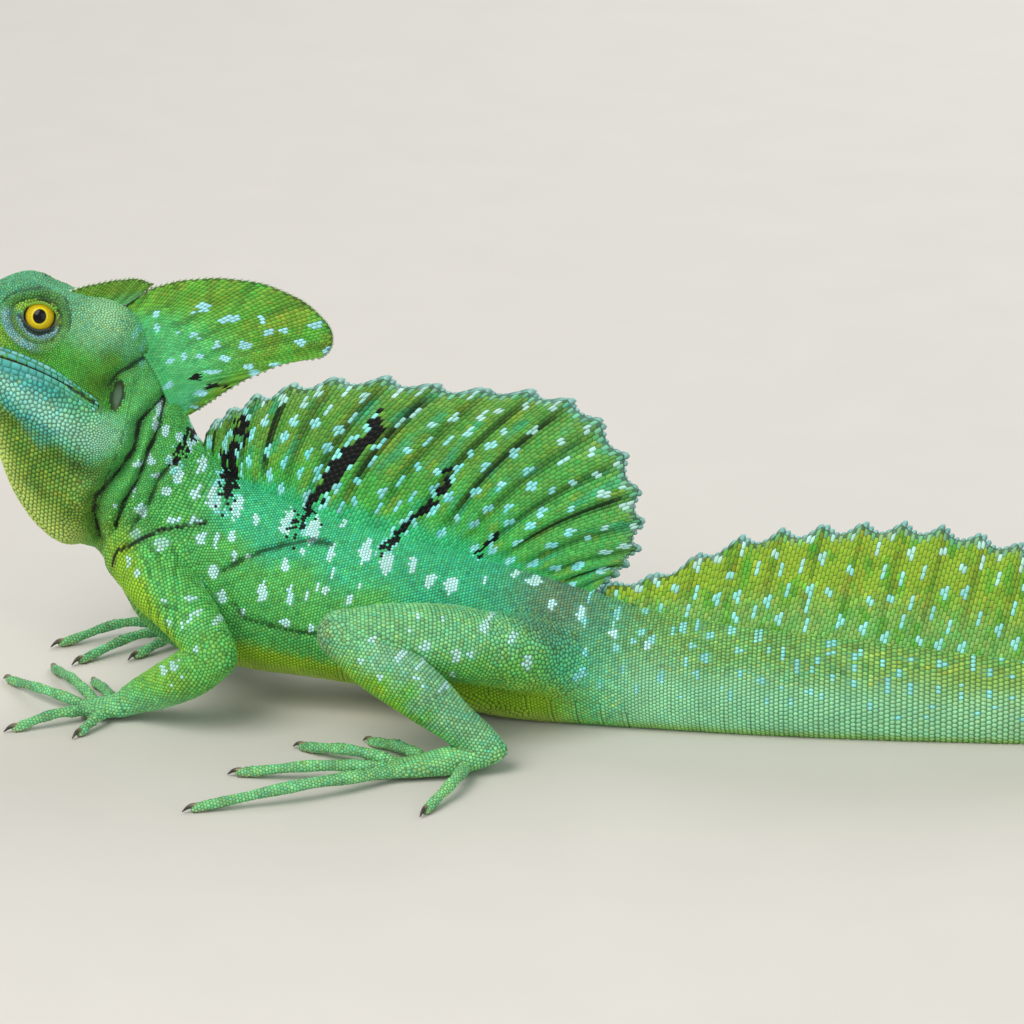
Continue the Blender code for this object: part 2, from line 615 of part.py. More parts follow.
def make_sail(parts):
    """The tall sail on the back, with a raised ray every few millimetres and a pointed edge."""
    spots = np.linspace(0, 1, len(SAIL_RAYS))
    keys = np.column_stack([spots, SAIL_RAYS])

    def place(u, v):
        root_x, tip_x, tip_z = cubic(keys, u)[0]
        root, _ = ridge_point(root_x)
        tip = np.array([tip_x, root[1], tip_z])
        span = tip - root
        length = np.linalg.norm(span)
        tip = tip + span / length * SAIL_SCALLOP * (scallop(u, SAIL_RAY_COUNT) - 0.5) * min(1, length / 20)
        foot = root - np.array([0, 0, 2.2])
        bow = np.array([-1.0, 0, 0.6]) * length * 0.05 * math.sin(math.pi * v)
        return foot + (tip - foot) * v + bow

    def half_thickness(u, v):
        plain = SAIL_ROOT + (SAIL_EDGE - SAIL_ROOT) * v**0.6
        return plain + SAIL_RIDGE * ray_ridge(u, SAIL_RAY_COUNT) * (1 - 0.6 * v)

    return fin("sail", SAIL_RAY_COUNT * 3, SAIL_ROWS, place, half_thickness, lambda u: np.array([0, 1.0, 0]),
               "sail", parts)


def make_tail_crest(name, start, end, parts):
    """A length of the crest on the tail between two values of x, with its own share of the rays."""
    first, last = TAIL_CREST[0][0], TAIL_CREST[-1][0]

    def root_x(u):
        return start + (end - start) * u

    def along(u):
        return (root_x(u) - first) / (last - first)

    def place(u, v):
        root, right = ridge_point(root_x(u))
        height = float(cubic(TAIL_CREST, root_x(u))[0, 0]) - root[2]
        scale = min(1.0, height / 12)
        height += TAIL_CREST_SCALLOP * (scallop(along(u), TAIL_CREST_RAYS) - 0.5) * scale
        run = np.array([right[1], -right[0], 0.0])
        foot = root - np.array([0, 0, 1.8])
        return foot + (np.array([0, 0, 1.0]) * (height + 1.8) + run * TAIL_CREST_LEAN * height) * v

    def half_thickness(u, v):
        plain = TAIL_CREST_ROOT + (TAIL_CREST_EDGE - TAIL_CREST_ROOT) * v**0.6
        thin = 1 - 0.45 * along(u)
        return (plain + TAIL_CREST_RIDGE * ray_ridge(along(u), TAIL_CREST_RAYS) * (1 - 0.6 * v)) * thin

    rays = max(1, round(TAIL_CREST_RAYS * (end - start) / (last - first)))
    return fin(name, rays * 3, TAIL_CREST_ROWS, place, half_thickness, lambda u: ridge_point(root_x(u))[1],
               "sail", parts)


def make_head_crest(name, outline, columns, rows, turn, parts):
    """A crest on the midline of the head, from its root up to its free edge. Turn is its y for each x."""
    keys = np.column_stack([np.linspace(0, 1, len(outline)), outline])

    def place(u, v):
        root_x, root_z, edge_x, edge_z = cubic(keys, u)[0]
        root = np.array([root_x, turn(root_x), root_z])
        return root + (np.array([edge_x, turn(edge_x), edge_z]) - root) * v

    def half_thickness(u, v):
        return CREST_ROOT + (CREST_EDGE - CREST_ROOT) * v**0.5

    return fin(name, columns, rows, place, half_thickness, lambda u: head_axes()[1], "sail", parts)


def head_middle(x):
    """The y of the head's middle plane at the height of the crown."""
    return SNOUT[1] + 0.9 + (x - SNOUT[0] - 4.6) * math.tan(HEAD_YAW)


def mirrored(keys, shift):
    """The same row of points on the right side, moved along the body."""
    return tuple((x + shift, -y, *rest) for x, y, *rest in keys)


def middle_direction(before, joint, after):
    """The normal of the plane that halves the angle of a joint, pointing to the side of the limb before it."""
    up_limb = np.array(before[:3]) - np.array(joint[:3])
    down_limb = np.array(after[:3]) - np.array(joint[:3])
    normal = up_limb / np.linalg.norm(up_limb) - down_limb / np.linalg.norm(down_limb)
    return normal / np.linalg.norm(normal)


def make_limb(prefix, limb, foot, names, trunk, parts):
    """Upper part, lower part and foot of one limb, parted at the joints and fitted to the trunk."""
    upper_name, lower_name, foot_name = (prefix + name for name in names)
    upper = tube(upper_name, limb["upper"], LIMB_SIDES, 9, "limb", parts)
    lower = tube(lower_name, limb["lower"], LIMB_SIDES, 9, "limb", parts)
    joint = np.array(limb["lower"][0][:3])
    normal = middle_direction(limb["upper"][-2], joint, limb["lower"][1])
    trim(upper, joint + normal * GAP / 2, normal)
    trim(lower, joint - normal * GAP / 2, -normal)
    end = np.array(limb["lower"][-1][:3])
    normal = middle_direction(limb["lower"][-2], end, foot["palm"][1])
    trim(lower, end + normal * GAP / 2, normal)
    apply_boolean(upper, "DIFFERENCE", trunk)
    keep_largest(upper)
    make_foot(foot_name, foot, end - normal * GAP / 2, -normal, parts)


def make_foot(name, foot, joint, away, parts):
    """Palm, five toes and their claws as one body that stands on small flats at z = 0."""
    palm = tube(name, foot["palm"], 12, 6, "limb", parts)
    trim(palm, joint, away)
    thick, thin = foot["toe_radius"]
    pieces = []
    for i, toe in enumerate(foot["toes"]):
        radii = (thick, (thick + thin) / 2, thin)
        keys = [(*point, radius) for point, radius in zip(toe, radii)]
        pieces.append(tube(f"{name}_toe_{i}", keys, TOE_SIDES, 5, "limb", parts))
        pieces.append(make_claw(f"{name}_claw_{i}", toe, parts))
    fuse(palm, pieces, parts)
    trim(palm, (0.0, 0.0, 0.0), (0.0, 0.0, 1.0))
    keep_largest(palm)
    return palm


def make_claw(name, toe, parts):
    """A curved, pointed claw that grows from the tip of a toe and bends down to the floor."""
    tip, before = np.array(toe[-1]), np.array(toe[-2])
    ahead = tip - before
    ahead[2] = 0.0
    ahead /= np.linalg.norm(ahead)
    root = tip - ahead * 0.8 + np.array([0, 0, 0.35])
    keys = [
        (*root, CLAW_RADIUS),
        (*(root + ahead * CLAW_LENGTH * 0.5 + np.array([0, 0, 0.15])), CLAW_RADIUS * 0.8),
        (*(root + ahead * (CLAW_LENGTH + 0.8) - np.array([0, 0, 1.1])), CLAW_RADIUS * 0.22),
    ]
    return tube(name, keys, 5, 4, "limb", parts, caps=())


def fit_to(obj, trunk, solver="EXACT"):
    """Cuts the object clear of the grown copy of the body that it stands on."""
    apply_boolean(obj, "DIFFERENCE", trunk, solver)
    keep_largest(obj)


def centre_on_floor(parts):
    """Moves the whole model so that the middle of its box is over the origin."""
    corners = np.array([obj.matrix_world @ v.co for obj in parts.objects for v in obj.data.vertices])
    low, high = corners.min(0), corners.max(0)
    shift = Vector((-(low[0] + high[0]) / 2, -(low[1] + high[1]) / 2, -low[2]))
    for obj in parts.objects:
        for vert in obj.data.vertices:
            vert.co += shift
    print("shift", [round(v / MM, 3) for v in shift])


def main():
    for obj in list(bpy.data.objects):
        bpy.data.objects.remove(obj)
    parts = bpy.data.collections.new("green_basilisk")
    bpy.context.scene.collection.children.link(parts)

    head = make_head(parts)
    cut_ears(head, parts)
    keep_largest(head)
    for node in list(NODE_RINGS)[1:]:
        body_part(node, node_places(node), NODE_SIDES[node], "body", parts)

    # A grown copy of the body, to fit the crests and the limbs against it.
    cutters = bpy.data.collections.new("cutters")
    bpy.context.scene.collection.children.link(cutters)
    fitted = ("head", "neck", "torso", "tail_1", "tail_2", "tail_3")
    places = sorted({round(place, 4) for node in fitted for place in node_places(node)})
    trunk = body_part("trunk", places, FIT_SIDES, "body", cutters, grow=GAP)

    middle = BODY_SECTIONS[TAIL_ENDS[0]][0]
    fit_to(make_sail(parts), trunk)
    fit_to(make_tail_crest("tail_crest_1", TAIL_CREST[0][0], middle - GAP / 2, parts), trunk)
    fit_to(make_tail_crest("tail_crest_2", middle + GAP / 2, TAIL_CREST[-1][0], parts), trunk)
    fit_to(make_head_crest("crest_rear", REAR_CREST, 18, 6, head_middle, parts), trunk)
    fit_to(make_head_crest("crest_front", FRONT_CREST, 12, 3, head_middle, parts), trunk, "MANIFOLD")

    arm_names, leg_names = ("upper_arm", "forearm", "hand"), ("thigh", "shank", "foot")
    for side, shift in (("left_", None), ("right_", 1)):
        for limb, foot, names, move in (
            (LEFT_ARM, LEFT_HAND, arm_names, RIGHT_ARM_SHIFT),
            (LEFT_LEG, LEFT_FOOT, leg_names, RIGHT_LEG_SHIFT),
        ):
            if shift:
                limb = {part: mirrored(keys, move) for part, keys in limb.items()}
                foot = {
                    "palm": mirrored(foot["palm"], move),
                    "toes": tuple(mirrored(toe, move) for toe in foot["toes"]),
                    "toe_radius": foot["toe_radius"],
                }
            make_limb(side, limb, foot, names, trunk, parts)

    bpy.data.objects.remove(trunk)
    bpy.data.collections.remove(cutters)
    centre_on_floor(parts)


main()
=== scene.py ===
"""The looks of the green basilisk: one skin under a coat of scales, with its sail, crests, eyes and claws.

Sizes are in millimetres in the same frame as the part's source, until a mesh is made in metres.
"""
import math

import bmesh
import bpy
import numpy as np
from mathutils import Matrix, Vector
from mathutils.bvhtree import BVHTree
from mathutils.kdtree import KDTree


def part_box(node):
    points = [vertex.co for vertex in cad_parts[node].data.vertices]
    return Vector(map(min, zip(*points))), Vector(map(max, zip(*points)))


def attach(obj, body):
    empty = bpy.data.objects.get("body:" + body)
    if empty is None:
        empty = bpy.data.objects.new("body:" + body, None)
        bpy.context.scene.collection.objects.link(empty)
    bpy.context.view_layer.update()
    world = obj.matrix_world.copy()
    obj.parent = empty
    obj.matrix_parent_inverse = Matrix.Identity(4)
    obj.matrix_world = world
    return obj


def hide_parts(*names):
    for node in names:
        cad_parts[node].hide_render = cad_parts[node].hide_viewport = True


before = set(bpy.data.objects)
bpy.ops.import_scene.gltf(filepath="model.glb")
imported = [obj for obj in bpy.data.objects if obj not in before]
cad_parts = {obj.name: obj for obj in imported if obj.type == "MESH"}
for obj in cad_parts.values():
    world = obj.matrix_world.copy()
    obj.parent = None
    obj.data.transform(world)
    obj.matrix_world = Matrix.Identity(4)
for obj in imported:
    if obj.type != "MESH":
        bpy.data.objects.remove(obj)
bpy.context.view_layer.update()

MM = 0.001
TURN = 2 * math.pi
RNG = np.random.default_rng(7)

# Body: the sections, joints and rays of the solids. The limbs lie up to 3 mm lower and the toes are slimmer, as a
# closer look at the photograph showed.
SNOUT = np.array([-155.0, -16.4, 96.0])
HEAD_PITCH = math.radians(12.0)
HEAD_YAW = math.radians(10.8)
EYE_BACK, EYE_UP, EYE_SIDE, EYE_RADIUS = 30.2, 15.3, 7.6, 4.6
LID_TILT = math.radians(20.0)
EAR_BACK, EAR_UP, EAR_HALF_LENGTH, EAR_HALF_HEIGHT, EAR_DEPTH = 54.0, 0.5, 1.6, 4.3, 1.7
NOSTRIL_BACK, NOSTRIL_UP, NOSTRIL_RADIUS = 5.6, 5.6, 0.75
MOUTH_CORNER = 50.0
MOUTH_LINE = ((0.0, 0.6), (8.0, 1.5), (16.0, 2.8), (27.0, 3.3), (35.0, 2.4), (43.0, 0.2), (MOUTH_CORNER, -2.8))
# Back from the snout, then how far above and below it, half width, fullness of the curve and lean.
HEAD_SECTIONS = (
    (0.0, 2.6, 1.8, 2.0, 2.0, 0.0),
    (1.6, 5.6, 4.4, 4.4, 2.1, 0.0),
    (5.0, 9.0, 6.4, 6.3, 2.3, 0.0),
    (11.0, 13.8, 8.4, 8.0, 2.4, 0.0),
    (18.0, 19.8, 12.5, 9.4, 2.4, 0.05),
    (24.5, 22.9, 23.5, 11.0, 2.5, 0.18),
    (32.0, 21.7, 36.0, 12.2, 2.6, 0.30),
    (40.0, 21.2, 44.0, 13.2, 2.5, 0.32),
    (48.0, 21.3, 47.3, 13.9, 2.4, 0.26),
)
# x and z of the top, x and z of the bottom, y, half width, fullness and lean.
BODY_SECTIONS = (
    (-100.0, 104.0, -117.0, 38.8, -6.0, 13.8, 2.2, 0.12),
    (-93.0, 91.0, -115.0, 38.0, -4.4, 12.9, 2.1, 0.04),
    (-87.6, 77.5, -112.2, 36.4, -3.2, 12.7, 2.1, 0.0),
    (-84.5, 69.5, -107.5, 29.0, -2.2, 13.6, 2.1, -0.10),
    (-80.0, 64.0, -102.0, 19.5, -1.2, 15.6, 2.1, -0.20),
    (-72.0, 58.4, -90.5, 11.0, -0.4, 17.8, 2.1, -0.25),
    (-60.0, 53.6, -71.0, 7.4, 0.0, 19.2, 2.1, -0.28),
    (-46.5, 50.1, -51.5, 6.8, 0.0, 20.0, 2.1, -0.30),
    (-31.0, 47.0, -33.0, 5.2, 0.0, 19.6, 2.1, -0.30),
    (-15.5, 43.8, -16.0, 2.0, 0.0, 18.0, 2.1, -0.28),
    (2.5, 40.2, 2.5, -0.6, 0.0, 15.6, 2.1, -0.24),
    (20.5, 36.0, 20.5, -0.9, 0.0, 12.4, 2.1, -0.20),
    (35.0, 32.2, 35.0, -0.9, 0.2, 10.4, 2.1, -0.18),
    (50.0, 30.2, 50.0, -0.9, 0.8, 9.0, 2.1, -0.18),
    (66.5, 28.6, 66.5, -0.9, 2.0, 7.9, 2.1, -0.20),
    (90.0, 26.8, 90.0, -0.9, 4.6, 6.8, 2.1, -0.22),
    (122.0, 23.6, 122.0, -0.9, 9.6, 5.8, 2.1, -0.22),
    (165.0, 18.8, 165.0, -0.9, 18.0, 4.8, 2.1, -0.20),
    (215.0, 14.4, 215.0, -0.9, 28.5, 3.9, 2.0, -0.16),
    (270.0, 10.8, 270.0, -0.9, 38.0, 3.1, 2.0, -0.12),
    (330.0, 7.8, 330.0, -0.8, 43.0, 2.45, 2.0, -0.08),
    (390.0, 5.5, 390.0, -0.7, 41.0, 1.9, 2.0, 0.0),
    (440.0, 3.9, 440.0, -0.6, 34.0, 1.45, 2.0, 0.0),
    (480.0, 2.6, 480.0, -0.4, 24.5, 1.05, 2.0, 0.0),
    (502.0, 1.6, 502.0, -0.3, 17.5, 0.6, 2.0, 0.0),
)
HEAD_END, NECK_END, TORSO_END = 1, 3, 12
# Rays of the sail: x of the root, then x and z of the tip.
SAIL_RAYS = (
    (-83.0, -82.0, 70.6), (-79.0, -77.5, 75.0), (-73.0, -69.0, 80.2), (-65.0, -54.5, 85.6),
    (-57.5, -35.0, 88.2), (-45.0, -15.5, 87.4), (-31.0, 3.5, 88.0), (-20.0, 18.5, 85.0),
    (-12.0, 29.0, 73.0), (-4.0, 33.6, 59.5), (6.0, 32.4, 48.0), (14.0, 28.5, 42.0), (21.0, 25.0, 38.6),
)
SAIL_RAY_COUNT, SAIL_ROOT, SAIL_EDGE, SAIL_SCALLOP = 18, 1.5, 0.5, 2.4
TAIL_CREST = (
    (25.0, 37.0), (34.0, 39.4), (42.0, 44.0), (52.0, 50.4), (66.0, 54.4), (84.0, 57.0), (100.0, 57.2),
    (122.0, 53.2), (145.0, 46.5), (175.0, 36.0), (205.0, 26.0), (235.0, 17.6), (262.0, 12.2),
)
TAIL_CREST_RAYS, TAIL_CREST_LEAN, TAIL_CREST_ROOT, TAIL_CREST_EDGE, TAIL_CREST_SCALLOP = 24, 0.24, 1.3, 0.45, 2.6
# Crests of the head: x and z of the root, x and z of the edge.
REAR_CREST = (
    (-102.6, 102.0, -102.2, 105.4), (-100.5, 99.5, -93.6, 111.0), (-99.0, 97.5, -81.0, 113.4),
    (-97.0, 94.5, -67.0, 112.2), (-95.0, 91.0, -55.6, 107.0), (-93.5, 88.0, -49.3, 99.6),
    (-92.5, 85.5, -51.0, 93.2), (-91.5, 83.0, -60.0, 91.2), (-90.5, 80.5, -71.5, 86.0),
    (-89.8, 78.0, -80.5, 80.0), (-89.5, 75.5, -86.0, 76.0),
)
FRONT_CREST = (
    (-121.5, 103.5, -121.8, 106.8), (-118.0, 103.5, -116.5, 109.2), (-114.5, 103.5, -110.5, 111.2),
    (-111.0, 103.8, -104.0, 112.5), (-106.4, 103.8, -98.8, 113.0), (-99.6, 107.7, -94.6, 111.6),
)
CREST_ROOT, CREST_EDGE = 1.5, 0.5
# Limbs: x, y, z and radius of each turn, with two radii in the palms.
LEFT_ARM = {
    "upper": ((-97.0, -8.0, 39.0, 11.6), (-89.6, -19.2, 34.6, 9.2), (-79.2, -28.4, 29.0, 7.3),
              (-70.0, -36.0, 22.8, 6.3)),
    "lower": ((-70.0, -36.0, 22.8, 6.2), (-76.0, -35.8, 17.6, 6.4), (-84.8, -33.2, 11.6, 5.7),
              (-94.8, -30.4, 5.6, 4.2)),
    "palm": ((-94.0, -30.6, 5.4, 4.2, 3.8), (-98.5, -30.6, 3.6, 4.9, 3.1), (-104.5, -31.4, 2.3, 5.0, 2.5)),
    "toes": (
        ((-100.0, -28.0, 2.4), (-106.0, -19.5, 3.0), (-111.6, -11.0, 1.1)),
        ((-104.0, -29.5, 2.4), (-113.8, -18.8, 3.8), (-125.0, -4.0, 1.1)),
        ((-105.5, -31.2, 2.4), (-118.4, -27.0, 4.0), (-134.0, -14.6, 1.1)),
        ((-105.0, -33.0, 2.4), (-113.0, -40.6, 3.6), (-121.6, -46.4, 1.1)),
        ((-100.0, -33.0, 2.4), (-102.0, -39.4, 3.0), (-104.4, -45.4, 1.1)),
    ),
    "toe_radius": (1.45, 1.15),
}
LEFT_LEG = {
    "upper": ((15.0, -7.0, 17.6, 9.5), (6.5, -17.0, 22.8, 10.4), (-8.0, -28.5, 28.8, 9.8),
              (-23.5, -36.6, 32.6, 8.0), (-34.5, -40.4, 33.0, 6.9)),
    "lower": ((-34.5, -40.4, 33.0, 6.9), (-25.5, -42.0, 27.6, 7.6), (-13.5, -43.6, 20.4, 7.0),
              (-3.0, -43.6, 12.4, 5.2), (5.2, -42.6, 6.0, 4.4)),
    "palm": ((5.4, -42.4, 5.6, 4.2, 4.2), (-4.0, -46.8, 4.0, 4.6, 3.4), (-14.5, -52.0, 2.5, 4.8, 2.7)),
    "toes": (
        ((-9.0, -47.5, 2.6), (-19.6, -40.0, 3.4), (-29.2, -33.4, 1.2)),
        ((-14.5, -50.0, 2.6), (-30.0, -47.4, 4.2), (-45.4, -41.0, 1.2)),
        ((-15.5, -52.0, 2.6), (-35.0, -59.4, 4.4), (-56.2, -61.6, 1.2)),
        ((-15.5, -53.5, 2.6), (-36.6, -73.6, 4.6), (-60.6, -86.6, 1.2)),
        ((0.0, -46.4, 3.2), (-0.4, -61.0, 3.8), (-3.8, -73.6, 1.2)),
    ),
    "toe_radius": (1.72, 1.22),
}
RIGHT_ARM_SHIFT, RIGHT_LEG_SHIFT = 5.0, 9.0
CLAW_LENGTH = 3.4

# Head forms in relief: back, reach along, up, reach up, height.
HEAD_FORMS = (
    (25.5, 8.0, 21.4, 2.6, 1.3), (30.2, 6.2, 15.2, 5.0, -1.4), (17.0, 6.0, 14.0, 2.2, 0.7),
    (15.0, 6.0, 8.0, 2.8, -0.6), (47.0, 7.0, 6.0, 7.5, 0.9), (53.5, 3.2, 0.5, 5.5, -0.8),
    (22.0, 16.0, 3.8, 1.2, 0.45), (24.0, 15.0, -1.6, 1.4, 0.4),
)
# Folds of the skin seen from the side, as x and z of each turn: width, and height (below 0 is a crease).
SIDE_FOLDS = (
    (((-84.2, 89.2), (-90.3, 83.9), (-96.2, 77.1), (-97.5, 70.0), (-102.5, 62.6), (-108.1, 56.0), (-109.5, 50.9),
      (-109.3, 42.5)), 1.5, -1.9),
    (((-90.8, 82.2), (-91.2, 76.5), (-94.0, 68.7), (-96.9, 61.2), (-101.0, 54.4), (-103.9, 46.8)), 0.9, -1.0),
    (((-88.0, 65.6), (-91.6, 61.3), (-93.7, 55.2), (-97.1, 49.9), (-100.1, 46.0)), 0.8, -0.8),
    (((-79.4, 49.9), (-86.5, 48.9), (-91.5, 47.7), (-95.9, 45.2), (-102.2, 41.8), (-104.3, 36.0)), 0.9, -1.0),
    (((-74.3, 37.9), (-69.3, 40.9), (-63.8, 43.4), (-56.9, 45.4), (-51.8, 46.2), (-46.5, 45.5)), 0.9, -0.8),
    (((-69.9, 30.0), (-67.0, 26.6), (-60.0, 25.6), (-54.5, 24.8), (-46.0, 24.3)), 0.8, -0.7),
    (((-133.0, 82.0), (-120.8, 79.0), (-109.2, 78.5), (-103.0, 75.5), (-99.4, 70.2)), 4.6, 1.2),
    (((-131.0, 76.5), (-121.5, 69.0), (-113.5, 64.0), (-107.4, 62.6), (-102.4, 63.6)), 3.0, -1.1),
    (((-102.4, 88.4), (-100.6, 91.4), (-97.7, 92.8), (-95.2, 94.2)), 1.3, -0.9),
    (((-96.5, 80.5), (-99.0, 73.5), (-105.0, 64.0), (-111.5, 56.0), (-113.0, 46.0)), 2.6, 0.9),
    (((-88.6, 86.5), (-92.0, 79.5), (-94.4, 72.0), (-98.4, 63.6), (-104.0, 54.5), (-106.8, 46.0)), 1.7, 0.6),
)


def cubic(keys, places):
    """A smooth curve through rows of keys, whose first column is the place along the curve."""
    keys = np.asarray(keys, float)
    x, y = keys[:, 0], keys[:, 1:]
    step = np.diff(x)[:, None]
    slope = np.diff(y, axis=0) / step
    inner = (slope[:-1] * step[1:] + slope[1:] * step[:-1]) / (step[:-1] + step[1:])
    tangent = np.vstack([slope[:1], inner, slope[-1:]])
    places = np.clip(np.atleast_1d(places), x[0], x[-1])
    i = np.clip(np.searchsorted(x, places, "right") - 1, 0, len(x) - 2)
    h = step[i]
    t = ((places - x[i]) / h[:, 0])[:, None]
    return (
        y[i] * (1 + 2 * t) * (1 - t) ** 2
        + tangent[i] * h * t * (1 - t) ** 2
        + y[i + 1] * t**2 * (3 - 2 * t)
        + tangent[i + 1] * h * t**2 * (t - 1)
    )


def smooth_step(low, high, value):
    """0 below low, 1 above high and a smooth rise between."""
    t = np.clip((value - low) / (high - low), 0, 1)
    return t * t * (3 - 2 * t)


def hill(*axes):
    """1 at one place, falling off smoothly. Each axis gives values, the place and the reach."""
    return np.exp(-sum(((value - at) / reach) ** 2 for value, at, reach in axes))


def unit(vectors):
    """The same directions with a length of 1."""
    return vectors / np.maximum(np.linalg.norm(vectors, axis=-1, keepdims=True), 1e-9)


def dots(first, second):
    """The dot product of each vector with its partner."""
    return (first * second).sum(-1)


def run_length(points):
    """How far along a line each of its points lies."""
    return np.concatenate([[0.0], np.cumsum(np.linalg.norm(np.diff(points, axis=0), axis=1))])


# The head's own directions: back towards the neck, to the right side, and up.
BACK = np.array([
    math.cos(HEAD_PITCH) * math.cos(HEAD_YAW), math.cos(HEAD_PITCH) * math.sin(HEAD_YAW), -math.sin(HEAD_PITCH)
])
SIDE = np.array([-math.sin(HEAD_YAW), math.cos(HEAD_YAW), 0.0])
UP = np.cross(BACK, SIDE)


def in_head(back, side, up):
    """The point that lies there in the head's own frame."""
    return SNOUT + BACK * back + SIDE * side + UP * up


def of_head(points):
    """Back, side and up of points in the head's own frame."""
    return (points - SNOUT) @ np.column_stack([BACK, SIDE, UP])


def mouth_height(back):
    """Height of the line of the mouth in the head's own frame."""
    return cubic(MOUTH_LINE, back)[:, 0]


def section_keys():
    """All the sections of the body in one form, with their place along it."""
    rows = [
        (*in_head(back, 0, above), *in_head(back, 0, -below), half_width, fullness, lean)
        for back, above, below, half_width, fullness, lean in HEAD_SECTIONS
    ]
    rows += [
        (top_x, y, top_z, bottom_x, y, bottom_z, half_width, fullness, lean)
        for top_x, top_z, bottom_x, bottom_z, y, half_width, fullness, lean in BODY_SECTIONS
    ]
    rows = np.array(rows)
    return np.column_stack([run_length((rows[:, 0:3] + rows[:, 3:6]) / 2), rows])


SECTIONS = section_keys()
PLACE = SECTIONS[len(HEAD_SECTIONS):, 0]


def eye_centre(way):
    """The middle of an eyeball: way is -1 on the left and 1 on the right."""
    return in_head(EYE_BACK, way * EYE_SIDE, EYE_UP)


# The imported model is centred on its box; the left eye tells how far that moved it.
eye_box = [np.array(corner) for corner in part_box("eye_left")]
SHIFT = (eye_box[0] + eye_box[1]) / 2 / MM - eye_centre(-1)


def line_distance(points, line):
    """How far points of the side view lie from a line of turns."""
    best = np.full(points.shape[:-1], 1e9)
    for a, b in zip(line, line[1:]):
        a, run = np.array(a), np.array(b) - np.array(a)
        t = np.clip(((points - a) @ run) / (run @ run), 0, 1)
        best = np.minimum(best, np.linalg.norm(points - a - t[..., None] * run, axis=-1))
    return best


def body_grid(places, angles):
    """Points of the body: one ring for each place, from the ridge of the back over the right side."""
    rows = cubic(SECTIONS, places)
    top, bottom, half_width, fullness, lean = rows[:, 0:3], rows[:, 3:6], *rows[:, 6:9].T[:, :, None]
    ahead, behind = cubic(SECTIONS, places + 2.0), cubic(SECTIONS, places - 2.0)
    run = unit((ahead[:, 0:2] + ahead[:, 3:5]) - (behind[:, 0:2] + behind[:, 3:5]))
    right = np.column_stack([-run[:, 1], run[:, 0], np.zeros(len(run))])[:, None]
    centre, half = ((top + bottom) / 2)[:, None], ((top - bottom) / 2)[:, None]
    height, out = np.cos(angles)[None], np.sin(angles)[None]
    width = half_width * np.maximum(0, 1 - abs(height) ** fullness) ** (1 / fullness) * (1 + lean * height)
    outward = right * np.sign(out)[..., None]
    grid = centre + half * height[..., None] + outward * width[..., None]
    grid = grid + outward * (side_relief(grid) * np.minimum(1, abs(out) * 1.6))[..., None]
    d, s, u = np.moveaxis(of_head(grid), -1, 0)
    amount = 0
    for at_back, reach, at_up, reach_up, form in HEAD_FORMS:
        amount = amount + form * hill((d, at_back, reach), (u, at_up, reach_up))
    amount = amount + lid_relief(d - EYE_BACK, u - EYE_UP)
    amount *= (d < 75) * smooth_step(0.6, 2.2, abs(s))
    away = SIDE * np.sign(s)[..., None] + 0.35 * (grid - centre) / np.linalg.norm(grid - centre, axis=-1)[..., None]
    grid = grid + amount[..., None] * away / np.linalg.norm(away, axis=-1)[..., None]
    grid[..., 2] = np.maximum(grid[..., 2], 0.0)
    return grid


def side_relief(grid):
    """Height of the folds of the skin over the body's plain sections."""
    flat = grid[..., [0, 2]]
    height = np.zeros(grid.shape[:-1])
    part = (grid[..., 0] < -40) & (grid[..., 2] > 8)
    for line, width, rise in SIDE_FOLDS:
        distance = line_distance(flat[part], line)
        shape = hill((distance, 0, width))
        if rise < 0:
            shape -= 0.30 * hill((distance, 2.2 * width, 1.2 * width))
        height[part] += rise * shape
    return height


def round_eye(ahead, rise):
    """How far round the eye a place lies, with the folds of the lids stretched towards the snout."""
    return np.hypot(ahead / np.where(ahead < 0, 1.45, 1.12), rise / np.where(rise < 0, 1.12, 0.98))


def lid_relief(ahead, rise):
    """The folds round the eye: a groove outside the lids, then a soft outer fold, deepest below."""
    reach = round_eye(ahead, rise)
    fold = 0.55 * hill((reach, 6.3, 0.7)) - 0.45 * hill((reach, 5.3, 0.42)) - 0.35 * hill((reach, 7.4, 0.5))
    behind = smooth_step(-1.0, 4.0, ahead) * smooth_step(2.0, -1.0, rise)
    return fold * (1.15 - 0.35 * np.sign(rise) * np.minimum(1, abs(rise) / 3)) * (1 - 0.6 * behind)


def tube_stations(keys, places):
    """Centres, directions and radii of a tube through centres with one radius or two, and its length."""
    if keys.shape[1] == 4:
        keys = np.column_stack([keys, keys[:, 3]])
    place = run_length(keys[:, :3])
    rail, at = np.column_stack([place, keys]), np.asarray(places) * place[-1]
    rows, ahead, behind = cubic(rail, at), cubic(rail, at + 0.05)[:, :3], cubic(rail, at - 0.05)[:, :3]
    return rows[:, :3], unit(ahead - behind), rows[:, 3:], place[-1]


def tube_grid(keys, rings, sides, form=0):
    """Points of a limb in rings. A toe is a little thicker at its joints."""
    places, angles = np.linspace(0, 1, rings), np.linspace(0, TURN, sides, endpoint=False)
    centre, along, radii, _ = tube_stations(keys, places)
    if form == TOE:
        radii = radii * (1 + 0.10 * np.cos(TURN * (places * 3.2 + 0.1)) - 0.04 * places)[:, None]
    across = unit(np.cross([0.0, 0.0, 1.0], along))
    upward = np.cross(along, across)
    c, s = np.cos(angles)[None, :, None], np.sin(angles)[None, :, None]
    return centre[:, None] + across[:, None] * radii[:, None, :1] * c + upward[:, None] * radii[:, None, 1:] * s


